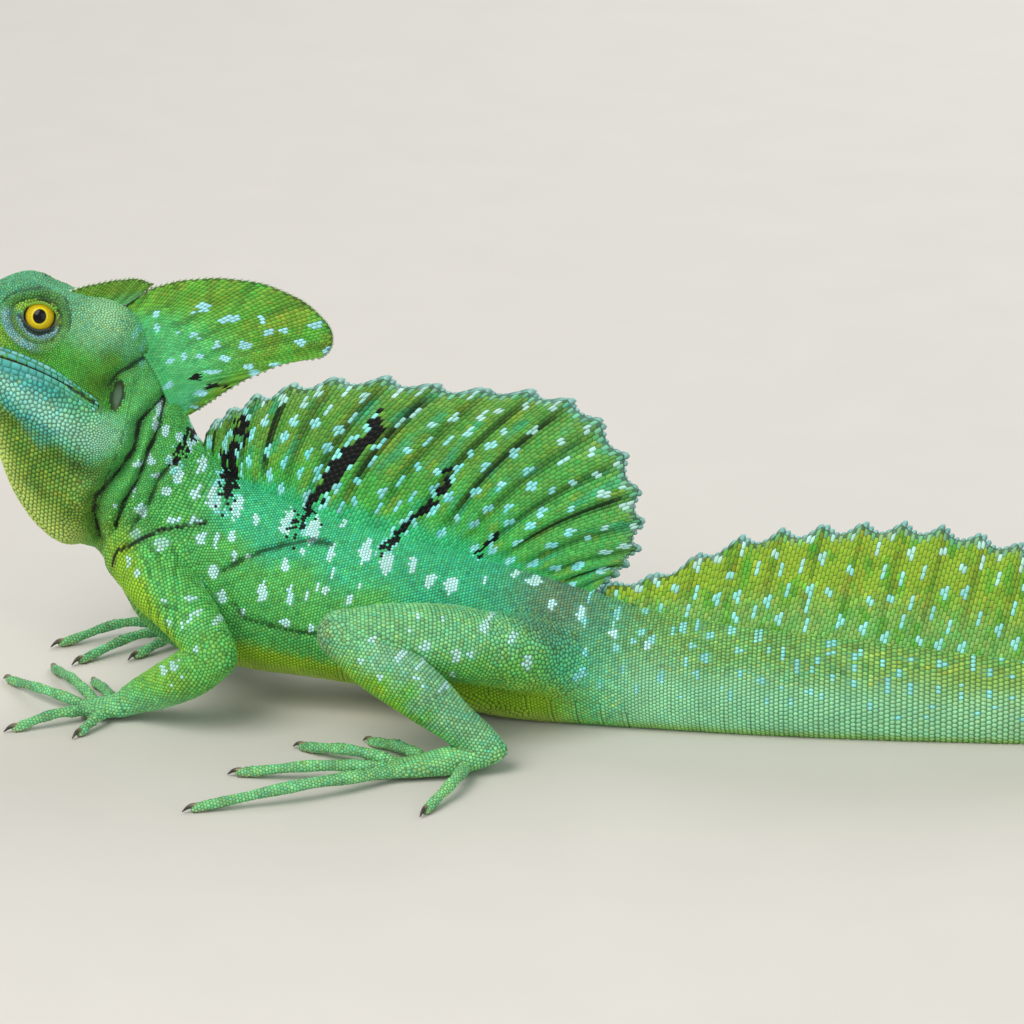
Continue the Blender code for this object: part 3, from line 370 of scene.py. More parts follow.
def with_caps(keys, grid, caps):
    """Adds round ends to the rings of a tube, at these angles."""
    centre, along, radii, _ = tube_stations(keys, [0.0, 1.0])
    first, last = [], []
    for angle in caps:
        a = math.radians(90 - angle)
        first.insert(0, centre[0] + (grid[0] - centre[0]) * math.cos(a) - along[0] * radii[0, 0] * math.sin(a))
        last.append(centre[1] + (grid[-1] - centre[1]) * math.cos(a) + along[1] * radii[1, 0] * math.sin(a))
    return np.array(first + list(grid) + last)


def new_object(name, mesh):
    """An object in the scene with this mesh."""
    obj = bpy.data.objects.new(name, mesh)
    bpy.context.scene.collection.objects.link(obj)
    return obj


def mesh_object(name, points, faces):
    """An object from points in the design's millimetres and a list of faces."""
    mesh = bpy.data.meshes.new(name)
    mesh.from_pydata(((np.asarray(points) + SHIFT) * MM).tolist(), [], faces)
    mesh.validate(clean_customdata=False)
    mesh.shade_smooth()
    return new_object(name, mesh)


def closed_object(name, points, faces):
    """The same for a closed mesh, whose faces are turned to point out."""
    obj = mesh_object(name, points, faces)
    bm = bmesh.new()
    bm.from_mesh(obj.data)
    bmesh.ops.recalc_face_normals(bm, faces=bm.faces)
    bm.to_mesh(obj.data)
    bm.free()
    return obj


def loft(grid):
    """Points and faces of a closed solid through rings of equally many points, with a fan at both ends."""
    rings, sides = grid.shape[:2]
    points = np.vstack([grid.reshape(-1, 3), grid[0].mean(0), grid[-1].mean(0)])
    index = np.arange(rings * sides).reshape(rings, sides)
    nxt = np.roll(index, -1, 1)
    faces = np.stack([index[:-1], nxt[:-1], nxt[1:], index[1:]], -1).reshape(-1, 4).tolist()
    faces += [(b, a, rings * sides) for a, b in zip(index[0].tolist(), nxt[0].tolist())]
    faces += [(a, b, rings * sides + 1) for a, b in zip(index[-1].tolist(), nxt[-1].tolist())]
    return points, faces


def read(items, name, width, kind=float):
    """One property of all the vertices, edges or triangles of a mesh as an array."""
    values = np.empty(len(items) * width, kind)
    items.foreach_get(name, values)
    return values.reshape(-1, width)


def mesh_arrays(obj):
    """Points in the design's millimetres, triangles and smooth normals of an object."""
    mesh = obj.data
    mesh.calc_loop_triangles()
    return (read(mesh.vertices, "co", 3) / MM - SHIFT, read(mesh.loop_triangles, "vertices", 3, int),
            read(mesh.vertices, "normal", 3))


def bake(obj):
    """Applies what its modifiers make, as a plain mesh."""
    graph = bpy.context.evaluated_depsgraph_get()
    graph.update()
    mesh = bpy.data.meshes.new_from_object(obj.evaluated_get(graph))
    obj.modifiers.clear()
    old, obj.data = obj.data, mesh
    bpy.data.meshes.remove(old)


def combine(obj, others, operation):
    """Joins other solids to the object, or cuts them out of it, and removes them."""
    group = bpy.data.collections.new(operation.lower())
    for other in others:
        bpy.context.scene.collection.objects.unlink(other)
        group.objects.link(other)
    modifier = obj.modifiers.new("combine", "BOOLEAN")
    modifier.operation, modifier.solver, modifier.operand_type = operation, "MANIFOLD", "COLLECTION"
    modifier.collection = group
    bake(obj)
    for other in others:
        bpy.data.objects.remove(other)
    bpy.data.collections.remove(group)


def ball(name, centre, radii, axes, segments=24, rings=16):
    """A closed ellipsoid with its three radii along three axes."""
    bm = bmesh.new()
    bmesh.ops.create_uvsphere(bm, u_segments=segments, v_segments=rings, radius=1.0)
    points = [centre + sum(c * r * axis for c, r, axis in zip(v.co, radii, axes)) for v in bm.verts]
    faces = [[v.index for v in face.verts] for face in bm.faces]
    bm.free()
    return closed_object(name, points, faces)


def eye_axes(way):
    """Outward, forward and up directions of an eye."""
    outward = SIDE * way * math.cos(LID_TILT) + UP * math.sin(LID_TILT)
    return outward, BACK, np.cross(outward, BACK) * -way


def lid_opening(turn):
    """How far the rims of the lids lie from the line the eye looks along: a wide almond."""
    tall = np.where(np.sin(turn) > 0, 3.35, 3.5)
    return ((abs(np.cos(turn)) / 4.75) ** 1.7 + (abs(np.sin(turn)) / tall) ** 1.7) ** (-1 / 1.7)


# The section of the lids: distance from the eye's middle, angle past the rim, and share of the way to the end.
LID_SECTION = (
    (4.62, 0.05, 0), (4.78, 0.0, 0), (5.02, 0.01, 0), (5.16, 0.05, 0), (5.18, 0.13, 0), (5.06, 0.20, 0),
    (5.14, 0.30, 0), (5.24, 0.0, 0.35), (5.28, 0.0, 0.7), (5.2, 0.0, 1.0), (4.4, 0.0, 1.0), (4.4, 0.25, 0.1),
)
LID_END = 1.46


def lids(way):
    """Both lids as one closed ring over the eyeball, with a rounded rim and a fold behind it."""
    outward, across, up = eye_axes(way)
    turn = np.arange(80) * TURN / 80
    rim = np.arcsin(np.minimum(lid_opening(turn) / 4.95, 0.985))
    out = across * np.cos(turn)[:, None] + up * np.sin(turn)[:, None]
    rings = []
    for radius, ahead, share in LID_SECTION:
        angle = np.minimum(rim + ahead, LID_END - 0.02 * (12 - len(rings)))
        angle = angle + (LID_END - angle) * share
        reach, aside = radius * np.cos(angle), radius * np.sin(angle)
        rings.append(eye_centre(way) + outward * reach[:, None] + out * aside[:, None])
    grid = np.stack(rings, 1)
    index = np.arange(grid[..., 0].size).reshape(grid.shape[:2])
    nxt = np.roll(index, -1, 0)
    faces = np.stack([index, nxt, np.roll(nxt, -1, 1), np.roll(index, -1, 1)], -1).reshape(-1, 4).tolist()
    return closed_object("lids", grid.reshape(-1, 3), faces)


def head_half_width(back, up):
    """How far the side of the head lies from its middle plane there."""
    above, below, half_width, fullness, lean = cubic(HEAD_SECTIONS, back)[0]
    height = (2 * up - above + below) / (above + below)
    return half_width * max(0.0, 1 - abs(height) ** fullness) ** (1 / fullness) * (1 + lean * height)


def mouth_path():
    """Points of the line of the mouth from one corner round the snout to the other, and the way out there."""
    path = []
    for way in (-1, 1):
        half = []
        for back in [*np.linspace(MOUTH_CORNER, 4.0, 40), 2.6, 1.4, 0.6]:
            height = float(mouth_height(back)[0])
            turn = 1.0 - smooth_step(0.0, 7.0, back) * 0.92
            outward = SIDE * way * math.cos(turn * 1.3) - BACK * math.sin(turn * 1.3)
            half.append((in_head(back, way * head_half_width(back, height), height), outward))
        path += half if way < 0 else [(in_head(0.0, 0.0, MOUTH_LINE[0][1]), -BACK)] + half[::-1]
    return path


def mouth_cutter():
    """A thin ribbon along the line of the mouth, to cut the gap between the lips."""
    rings = []
    for point, outward in mouth_path():
        inner, outer, rise = point - outward * 0.9, point + outward * 2.2, UP * 0.16
        rings.append([inner - rise, outer - rise, outer + rise, inner + rise])
    return closed_object("mouth_cutter", *loft(np.array(rings)))


# Each tube of a limb has a number: 10 on the left or 20 on the right, 4 more in a leg, and its form.
UPPER, LOWER, PALM, TOE = range(4)


def limb_tubes():
    """All the tubes of the limbs: number and keys."""
    tubes = []
    for side in (0, 1):
        for row, limb, shift in ((0, LEFT_ARM, RIGHT_ARM_SHIFT), (4, LEFT_LEG, RIGHT_LEG_SHIFT)):
            thick, thin = limb["toe_radius"]
            radii = (thick, (thick + thin) / 2, thin)
            toes = [[(*point, radius) for point, radius in zip(toe, radii)] for toe in limb["toes"]]
            for form, keys in enumerate([limb["upper"], limb["lower"], limb["palm"], *toes]):
                moved = np.array(keys, float)
                if side:
                    moved[:, 0] += shift
                    moved[:, 1] *= -1
                tubes.append((10 + 10 * side + row + min(form, TOE), moved))
    return tubes


LIMBS = limb_tubes()


def on_both_sides(arm_spots, leg_spots):
    """Spots on the left limbs, as x, y, z and reach, and the same on the right."""
    spots = []
    for side in (0, 1):
        for rows, shift in ((arm_spots, RIGHT_ARM_SHIFT), (leg_spots, RIGHT_LEG_SHIFT)):
            spots += [(np.array([x + side * shift, y * (1 - 2 * side), z]), reach) for x, y, z, reach in rows]
    return spots


def relax_near(points, edges, spots, rounds):
    """Smooths the skin where the limbs leave the body."""
    weight = np.zeros(len(points))
    for centre, reach in spots:
        distance = np.linalg.norm(points - centre, axis=1)
        weight = np.maximum(weight, 1 - smooth_step(0.55 * reach, reach, distance))
    count = np.bincount(edges.ravel(), minlength=len(points))[:, None]
    for _ in range(rounds):
        total = np.zeros_like(points)
        np.add.at(total, edges[:, 0], points[edges[:, 1]])
        np.add.at(total, edges[:, 1], points[edges[:, 0]])
        points = points + (total / np.maximum(count, 1) - points) * weight[:, None] * 0.6
    return points


def make_skin():
    """One skin over the whole body, with lids, eye sockets, nostrils, ears and the gap between the lips."""
    ends = [0, PLACE[HEAD_END], PLACE[4], PLACE[TORSO_END + 1], PLACE[-1]]
    places = np.concatenate([np.linspace(a, b, n)[int(a > 0):] for a, b, n in zip(ends, ends[1:], (130, 60, 120, 160))])
    grid = body_grid(places, np.linspace(0, TURN, 128, endpoint=False))
    middle, rear = grid[0].mean(0), grid[-1].mean(0)
    nose = [middle + (grid[0] - middle) * math.cos(a) - BACK * 1.1 * math.sin(a) for a in (1.2, 0.8, 0.4)]
    tip = [rear + (grid[-1] - rear) * c + np.array([0.86, -0.5, 0]) * e for c, e in ((0.8, 0.5), (0.4, 0.9))]
    skin = closed_object("skin", *loft(np.array(nose + list(grid) + tip)))
    pieces = []
    for number, keys in LIMBS:
        form = number % 10 % 4
        rings, sides = ((46, 44), (40, 40), (14, 32), (26, 12))[form]
        limb = with_caps(keys, tube_grid(keys, rings, sides, form), (75, 60, 45, 30, 15))
        limb[..., 2] = np.maximum(limb[..., 2], 0.0)
        pieces.append(closed_object("limb", *loft(limb)))
    combine(skin, pieces + [lids(-1), lids(1)], "UNION")
    cutters = [mouth_cutter()]
    for way in (-1, 1):
        cutters.append(ball("socket", eye_centre(way), [EYE_RADIUS + 0.08] * 3, (SIDE, BACK, UP), 64, 40))
        nostril = in_head(NOSTRIL_BACK, way * head_half_width(NOSTRIL_BACK, NOSTRIL_UP), NOSTRIL_UP)
        cutters.append(ball("nostril", nostril, (1.1, NOSTRIL_RADIUS, 1.0), (SIDE, UP, BACK)))
        cup = (EAR_DEPTH, EAR_HALF_HEIGHT, EAR_HALF_LENGTH)
        cutters.append(ball("ear", ear_centre(skin, way), cup, (SIDE, UP, BACK)))
    combine(skin, cutters, "DIFFERENCE")
    spots = on_both_sides(
        ((-90, -13, 39, 16), (-93.5, -30.5, 5.6, 6), (-70.2, -35.6, 24.6, 9), (-103, -31.5, 2.4, 7)),
        ((8, -14, 26, 26), (-34.5, -40.4, 33, 11), (5.2, -42.6, 5.6, 7), (-13, -51.5, 2.6, 8)))
    points = relax_near(mesh_arrays(skin)[0], read(skin.data.edges, "vertices", 2, int), spots, 30)
    skin.data.vertices.foreach_set("co", ((points + SHIFT) * MM).ravel())
    skin.data.shade_smooth()
    skin.data.update()
    return skin


def ear_centre(skin, way):
    """The middle of the cup of an ear, on the side of the head."""
    start = (in_head(EAR_BACK, way * 40.0, EAR_UP) + SHIFT) * MM
    _, where, _, _ = skin.ray_cast(Vector(start), Vector(SIDE * -way))
    return np.array(where) / MM - SHIFT + SIDE * way * 0.35


# Markings, each in the side view as x, z, half length and half height.
FLANK_SPOTS = (
    (-77.9, 55.6, 1.9, 2.6), (-72.1, 53.4, 1.6, 2.7), (-58.9, 49.9, 1.6, 2.7), (-51.8, 48.1, 1.9, 2.6),
    (-66.6, 50.6, 1.0, 1.4), (-82.3, 57.4, 1.2, 1.7), (-81.9, 63.7, 1.0, 2.0), (-86.7, 61.8, 1.4, 2.4),
    (-87.4, 50.6, 2.0, 0.8), (-82.0, 50.7, 2.0, 0.8), (-80.0, 46.1, 1.4, 1.7), (-76.1, 46.2, 0.8, 2.4),
    (-72.0, 46.7, 1.0, 1.4), (-76.0, 38.2, 1.4, 1.9), (-73.6, 32.0, 1.4, 2.0), (-67.7, 28.3, 0.8, 1.4),
    (-55.9, 26.6, 1.5, 1.2), (-48.8, 26.0, 0.8, 1.2), (-62.6, 34.2, 1.5, 2.7), (-55.1, 33.9, 1.0, 2.4),
    (-57.3, 40.8, 1.0, 1.7), (-53.3, 44.0, 0.6, 1.0), (-45.8, 43.9, 1.0, 1.9), (-44.7, 39.2, 0.7, 1.4),
    (-37.3, 44.3, 1.6, 2.6), (-31.2, 41.8, 1.8, 2.4), (-24.6, 41.8, 1.2, 2.0), (-19.3, 38.5, 1.5, 1.9),
    (-13.7, 37.5, 1.8, 1.9), (-37.3, 37.1, 0.6, 1.1), (-46.0, 35.6, 1.1, 1.1), (-48.1, 36.4, 0.6, 1.2),
    (-50.8, 34.5, 0.5, 1.4), (-39.2, 33.9, 0.8, 1.2), (-44.5, 49.3, 0.8, 0.7), (-70.8, 42.5, 0.8, 1.2),
    (-67.6, 42.3, 0.8, 1.1), (-5.5, 38.7, 0.8, 0.8), (1.6, 39.5, 1.0, 0.7), (6.6, 38.0, 2.0, 1.1),
    (12.5, 33.5, 1.2, 1.4), (20.0, 31.5, 1.0, 1.6), (29.0, 27.0, 1.2, 1.3), (38.0, 24.5, 1.0, 1.4),
    (-89.5, 58.2, 1.5, 1.1), (-96.1, 52.8, 1.5, 2.5), (-97.3, 46.3, 1.9, 1.4), (-96.2, 66.4, 1.3, 1.3),
    (-93.1, 66.8, 1.2, 1.7), (-91.6, 80.0, 0.9, 2.6), (-91.9, 76.4, 0.7, 2.2), (-89.8, 74.5, 1.1, 1.7),
    (-92.1, 62.6, 1.0, 0.8), (-97.8, 58.1, 0.9, 1.3), (-103.0, 53.6, 0.7, 0.9), (-88.9, 66.5, 0.9, 1.5),
    (-84.7, 69.3, 0.8, 2.2), (-87.0, 72.0, 0.7, 1.5),
)
LIMB_SPOTS = (
    (-90.1, 45.1, 1.9, 1.4), (-97.7, 40.9, 1.0, 1.5), (-94.6, 38.8, 1.1, 1.0), (-85.0, 34.7, 1.0, 0.8),
    (-83.1, 29.6, 0.7, 1.2), (-79.0, 30.0, 0.7, 1.1), (-76.9, 32.2, 0.8, 1.7), (-75.5, 33.3, 1.0, 0.8),
    (-70.4, 30.9, 0.8, 1.0), (-78.2, 35.6, 1.6, 0.5), (-4.7, 41.5, 1.2, 1.5), (0.4, 40.0, 1.4, 1.9),
    (4.8, 38.4, 1.8, 1.5), (-25.0, 42.1, 1.0, 0.8), (9.3, 36.4, 1.4, 0.8), (-12.3, 32.2, 1.7, 1.5),
    (-5.1, 29.1, 1.4, 2.4), (-1.8, 29.2, 0.8, 1.2), (0.4, 34.9, 1.0, 1.5), (6.7, 30.7, 1.2, 1.5),
    (10.5, 24.2, 1.1, 1.9), (-9.3, 37.8, 0.8, 0.7), (-15.1, 39.0, 0.8, 0.6), (-7.3, 39.3, 0.8, 0.5),
    (1.0, 37.4, 0.7, 0.7), (-16.8, 35.9, 0.5, 1.0), (-18.0, 30.8, 1.2, 1.2), (-27.4, 30.0, 1.1, 1.0),
    (-25.1, 34.7, 1.2, 0.5), (-22.2, 26.1, 1.0, 0.7), (-13.1, 26.3, 0.8, 0.6), (-11.0, 24.3, 0.7, 0.7),
    (-6.7, 23.3, 0.8, 1.2), (-13.4, 28.4, 1.0, 0.5), (-74.3, 25.4, 1.2, 0.7), (-78.5, 21.5, 0.7, 0.5),
    (-80.3, 19.8, 2.0, 1.0), (-83.6, 17.8, 1.4, 1.1), (-77.5, 17.9, 1.4, 0.8), (-81.0, 14.6, 0.8, 0.7),
)
CREST_SPOTS = (
    (-81.8, 105.7, 1.7, 1.4), (-75.1, 102.7, 3.1, 1.2), (-84.4, 104.3, 0.9, 1.0), (-67.1, 103.0, 1.4, 1.4),
    (-65.1, 99.3, 1.7, 1.1), (-61.3, 99.9, 1.5, 1.2), (-53.2, 101.3, 1.7, 1.5), (-57.2, 96.6, 1.9, 1.2),
    (-50.5, 94.6, 0.8, 1.2), (-71.5, 95.6, 1.8, 1.4), (-78.6, 95.5, 1.2, 1.2), (-76.7, 92.1, 1.4, 1.1),
    (-83.0, 92.3, 1.2, 0.8), (-84.5, 98.3, 0.9, 1.0), (-83.1, 97.3, 0.9, 0.8), (-63.6, 90.2, 1.5, 0.8),
    (-55.9, 90.4, 1.3, 0.7), (-70.3, 89.6, 1.4, 0.8), (-69.1, 87.9, 1.4, 1.1), (-80.0, 88.2, 2.6, 0.7),
    (-83.0, 82.3, 1.8, 1.0), (-90.5, 79.9, 0.8, 0.7), (-85.0, 78.3, 1.2, 0.6), (-79.5, 80.1, 1.0, 0.5),
    (-93.9, 103.9, 0.6, 1.0), (-93.6, 100.6, 0.5, 1.5), (-88.3, 98.2, 0.5, 0.8), (-90.2, 91.6, 0.8, 1.1),
    (-86.7, 92.4, 0.6, 1.6), (-90.0, 85.6, 0.9, 1.1),
)
CREST_PATCHES = ((-83.8, 86.8, 1.6, 1.1), (-80.0, 84.2, 2.2, 0.7), (-76.5, 84.0, 0.9, 0.7))
# Black bars over the back and the sail, as lines of turns with a half width.
BLACK_BARS = (
    (((-84.6, 72.5), (-86.1, 69.4), (-87.8, 65.4)), 1.5),
    (((-71.6, 75.0), (-73.2, 70.4), (-75.8, 65.1), (-75.4, 60.0), (-74.6, 54.5)), 1.9),
    (((-35.0, 77.6), (-37.9, 72.8), (-43.3, 67.6), (-46.6, 63.2), (-50.1, 58.8), (-52.9, 54.4), (-55.6, 49.6)), 1.9),
    (((-16.3, 65.8), (-18.3, 60.1), (-21.8, 55.2), (-25.7, 52.0), (-29.7, 47.7), (-32.8, 44.4)), 1.1),
    (((-3.7, 49.1), (-6.9, 45.5), (-9.5, 42.6)), 0.7),
)
BAR_BLACK = "#070a09"
# Soft patches of the head: colour, place back and reach, height and reach, and strength. The dark olive patches 48.5
# and 50.5 mm back, in front of and above the ear, are painted shade.
HEAD_PATCHES = (
    ("#97d59c", 47, 7.5, 19.5, 5.0, 0.95), ("#7cc283", 43, 6, 14, 3.5, 0.6), ("#467a16", 48.5, 5.0, 3.5, 5.0, 0.9),
    ("#4d7f1c", 50.5, 3.2, 10.5, 2.4, 0.8), ("#4c8420", 30, 5.5, 6.8, 1.4, 0.8), ("#9cc43c", 19, 4.5, 8, 3.5, 0.9),
)


def linear(colour):
    """An sRGB hex colour as linear red, green, blue and alpha."""
    values = [int(colour[i:i + 2], 16) / 255 for i in (1, 3, 5)]
    return (*(v / 12.92 if v <= 0.04045 else ((v + 0.055) / 1.055) ** 2.4 for v in values), 1.0)


def hue(colour):
    """Linear red, green and blue of an sRGB hex colour; linear colours pass as they are."""
    return np.array(linear(colour)[:3]) if isinstance(colour, str) else colour


def blend(first, second, share):
    """Mixes two colours by a share for each point."""
    first = hue(first)
    return first + (hue(second) - first) * np.clip(np.asarray(share, float), 0, 1)[:, None]


def layered(colour, *layers):
    """Lays colours over one another, each by its share at each point."""
    for tone, share in layers:
        colour = blend(colour, tone, share)
    return colour


def mottle(points, size, seed):
    """Soft, even mottling from -1 to 1 with patches of about this size in millimetres."""
    total = np.zeros(len(points))
    draw = np.random.default_rng(seed)
    for _ in range(7):
        wave = draw.normal(size=3)
        wave *= TURN / size / np.linalg.norm(wave) * draw.uniform(0.7, 1.5)
        total += np.sin(points @ wave + draw.uniform(0, 6.28))
    return total / 3.2


def uneven(tint, draw, amount, high, red, blue=0.0):
    """Colours that differ a little from scale to scale, less on the pale ones."""
    even = np.where(tint[:, 0] > 0.26, 0.3, 1.0)
    tint = tint * np.clip(1 + amount * even * draw.normal(size=len(tint)), 0.6, high)[:, None]
    warm = even * draw.normal(size=len(tint))
    return np.clip(tint * np.clip(1 + warm[:, None] * (red, 0.0, -blue), 0.6, 1.5), 0, 1)


def spotted(points, spots, ragged):
    """1 inside the spots of the side view, 0 outside, with a ragged edge."""
    inside = np.full(len(points), 9.0)
    for at_x, at_z, long, tall in spots:
        inside = np.minimum(inside, np.hypot((points[:, 0] - at_x) / long, (points[:, 2] - at_z) / tall))
    return (inside < 0.9 + 0.7 * ragged * mottle(points, 1.6, 21)).astype(float)


def body_marks(points):
    """Colours of the neck, the trunk and the tail."""
    x, _, z = points.T
    keys = SECTIONS[len(HEAD_SECTIONS):]
    back, belly = np.interp(x, keys[:, 1], keys[:, 3]), np.interp(x, keys[:, 4], keys[:, 6])
    height = (z - belly) / (back - belly)
    blur = mottle(points, 14.0, 3) * 0.05
    high, far = height + blur, x + 20 * blur
    top = np.interp(x, [-30, -10, 20], [0.30, 0.52, 0.60])
    under = smooth_step(top, top - 0.10 - 0.2 * (x > -20), height + blur * 0.6)
    # The tail: teal above, paler below, and more olive further back, with dim rings.
    along = layered("#6aac78", ("#7cba62", smooth_step(24, 48, far)), ("#8dbc56", smooth_step(60, 130, far)))
    below = layered("#93dca6", ("#a4d898", smooth_step(70, 200, x)), ("#8fbf3c", smooth_step(0.16, 0.06, height) * 0.7))
    ring = smooth_step(0.45, 0.9, np.sin(x / 7.4 + 0.8 * np.sin(x / 31))) * smooth_step(110, 170, x)
    tail = layered(along, (below, smooth_step(0.84, 0.42, high)), ("#4f7f38", ring * 0.55),
                   ("#8f8a55", smooth_step(330, 480, x) * 0.7))
    crest_foot = smooth_step(0.84, 1.0, height) * smooth_step(28, 46, x) * smooth_step(150, 120, x)
    colour = layered(
        "#5dc060",
        ("#4faa50", 0.55 * smooth_step(0.62, 0.40, high) * smooth_step(-30, -60, x)),
        ("#46c78a", smooth_step(0.62, 0.82, high) * smooth_step(-84, -70, x)),
        ("#3cc08c", smooth_step(-32, -8, x) * smooth_step(0.25, 0.5, high) * 0.8),
        (blend("#93c226", "#b5cf62", smooth_step(0.2, 0.0, height)),
         under * smooth_step(-88, -74, x) * smooth_step(26, 10, x)),
        ("#9bbf3a", 0.5 * smooth_step(-92, -104, x) * smooth_step(60, 40, z)),
        (tail, smooth_step(12, 40, x)),
        ("#6f8468", hill((x, 14, 13)) * smooth_step(0.5, 0.9, height) * 0.8),
        ("#78b45a", crest_foot * 0.85),
        ("#c6faf6", spotted(points, FLANK_SPOTS, 0.30)),
        ("#8fe6e0", tail_dots(x, height) * 0.9),
    )
    return paint_crease_shade(black_bars(colour, points), points, SIDE_FOLDS)


def black_bars(colour, points):
    """Black bars with broken edges, lined by pale blue scales."""
    noise = mottle(points, 2.0, 5)
    speck = np.random.default_rng(19).normal(size=len(points))
    for n, (line, width) in enumerate(BLACK_BARS):
        distance = line_distance(points[:, [0, 2]], line) / width
        rim = (distance > 0.55) & (distance < 1.65) & (mottle(points, 3.2, 31 + n) > 0.24)
        low = line[-1][1] + 7.0
        fade = smooth_step(low, low - 8.0, points[:, 2])
        black = distance + 0.55 * noise + (0.12 + 0.5 * fade) * speck + 0.35 * fade < 0.95
        black &= mottle(points, 4.2, 61 + n) < 0.55
        colour = layered(colour, ("#8fe9e0", rim), (BAR_BLACK, black))
    return colour


def paint_crease_shade(colour, points, folds):
    """Painted shade: the creases of the skin are darker inside."""
    shade = np.ones(len(points))
    for line, width, rise in folds:
        if rise < 0 and width < 2:
            distance = line_distance(points[:, [0, 2]], line) + 0.25 * mottle(points, 5.0, 71)
            core = np.exp(-((distance / (0.22 * width + 0.30)) ** 4))
            for deep, form in ((0.96, core), (0.40, hill((distance, 0, 1.1 * width)))):
                shade = np.minimum(shade, 1 - deep * min(1, -rise) * form)
    return colour * shade[:, None]


def tail_dots(x, height):
    """1 inside the small pale dashes that stand in loose rows along the tail."""
    draw = np.random.default_rng(23)
    inside = np.zeros(len(x), bool)
    for row, gap in ((0.96, 6.0), (0.84, 5.5), (0.70, 6.5), (0.55, 7.5), (0.40, 9.0)):
        at = 18.0 + 5 * draw.random()
        while at < 210:
            rise = row + 0.05 * draw.normal()
            inside |= np.hypot((x - at) / draw.uniform(0.5, 0.9), (height - rise) / draw.uniform(0.025, 0.05)) < 1
            at += gap * draw.uniform(0.6, 1.5)
    return inside.astype(float)


def head_marks(points):
    """Colours of the head and the throat, from the head's own directions."""
    d, s, u = of_head(points).T
    blur = mottle(points, 9.0, 11)
    colour = blend("#4caa3a", "#58a877", smooth_step(11.0, 17.5, u + blur + 0.12 * (d - 30)))
    for tone, at_d, reach_d, at_u, reach_u, strength in HEAD_PATCHES:
        colour = blend(colour, tone, hill((d, at_d, reach_d), (u, at_u, reach_u)) * strength)
    below = mouth_height(d) - u
    jaw = smooth_step(0.5, 2.0, below)
    bottom = np.interp(d, [8, 18, 25, 31, 38, 45, 52, 60], [6, 8.5, 10.8, 13.2, 15.6, 15.8, 15.0, 9.0])
    rim = np.interp(d, [14, 18, 24.5, 32, 40, 48, 56], [9.5, 12.5, 23.5, 36, 44, 47.3, 52])
    throat = layered(
        "#7ea63c",
        ("#649030", smooth_step(-0.6, 0.8, blur)),
        ("#6db35c", smooth_step(38, 56, d) * smooth_step(-34, -16, u)),
        ("#c2de70", smooth_step(13, 2, rim + u) * 0.9),
    )
    # Painted shadow under the fold of the jaw's pouch, in dark olive.
    fold = hill((below / bottom, 1.28, 0.2)) * smooth_step(36, 47, d) * smooth_step(60, 54, d)
    colour = layered(
        colour,
        ("#78d086", smooth_step(52, 60, d) * smooth_step(-12, 0, u) * 0.9),
        (blend("#36aa9a", "#62bf80", smooth_step(36, 47, d)), jaw),
        ("#a0e2c8", jaw * hill((below, 0.66 * bottom, 0.27 * bottom)) * 0.8),
        ("#a4e4b4", jaw * hill((d, 51, 5.5), (u, -9.5, 4.5)) * 0.7),
        (throat, smooth_step(0.92, 1.42, below / bottom + 0.12 * blur) * jaw),
        ("#4a6c1c", jaw * fold * 0.7),
    )
    # Lids: bluish grey below the eye, leaf green above, with painted shade along the rims of the lids, in the corners
    # of the eye and in the creases round it.
    ahead, rise = d - EYE_BACK, u - EYE_UP
    e, side = round_eye(ahead, rise), abs(s) > 4
    tilted = rise + 0.12 * ahead
    under, over, rear = smooth_step(0.8, -1.4, tilted), smooth_step(-0.6, 1.2, tilted), smooth_step(-1.5, 4.0, ahead)
    fold = np.exp(-(((e - 6.1) / 0.95) ** 4)) * side
    lid = (e < 5.2) * side
    rim = np.hypot(ahead, rise) - lid_opening(np.arctan2(rise, ahead))
    inner = smooth_step(1.9, 0.9, rim)
    crease = hill((e, 5.2, 0.24)) * (1 - 0.45 * under) + 0.8 * hill((e, 7.3, 0.24)) * over
    colour = layered(
        colour,
        ("#7fb6b4", fold * under * (1 - rear) * 0.95),
        ("#62a050", fold * under * rear * 0.9),
        ("#4d8a36", fold * over * 0.9),
        ("#8cbf3e", lid * over),
        ("#79a9ae", lid * under * inner),
        ("#5d8f4a", lid * under * smooth_step(0.9, 1.9, rim)),
        ("#1f2a16", (rim < 0.22) * lid * 0.9),
        ("#26301c", hill((abs(ahead), 5.2, 0.7), (rise, 0, 0.5)) * side * 0.9),
        ("#234418", np.clip(crease, 0, 1) * side * 0.9),
    )
    for at_d, at_u in ((57.5, 13.5), (58.5, 9.0), (61.5, 4.0), (60.5, -2.5), (55.5, 16.5)):
        colour = blend(colour, "#86dbd2", np.hypot((d - at_d) / 0.8, (u - at_u) / 1.4) < 1 + 0.3 * blur)
    return paint_crease_shade(colour, points, SIDE_FOLDS)


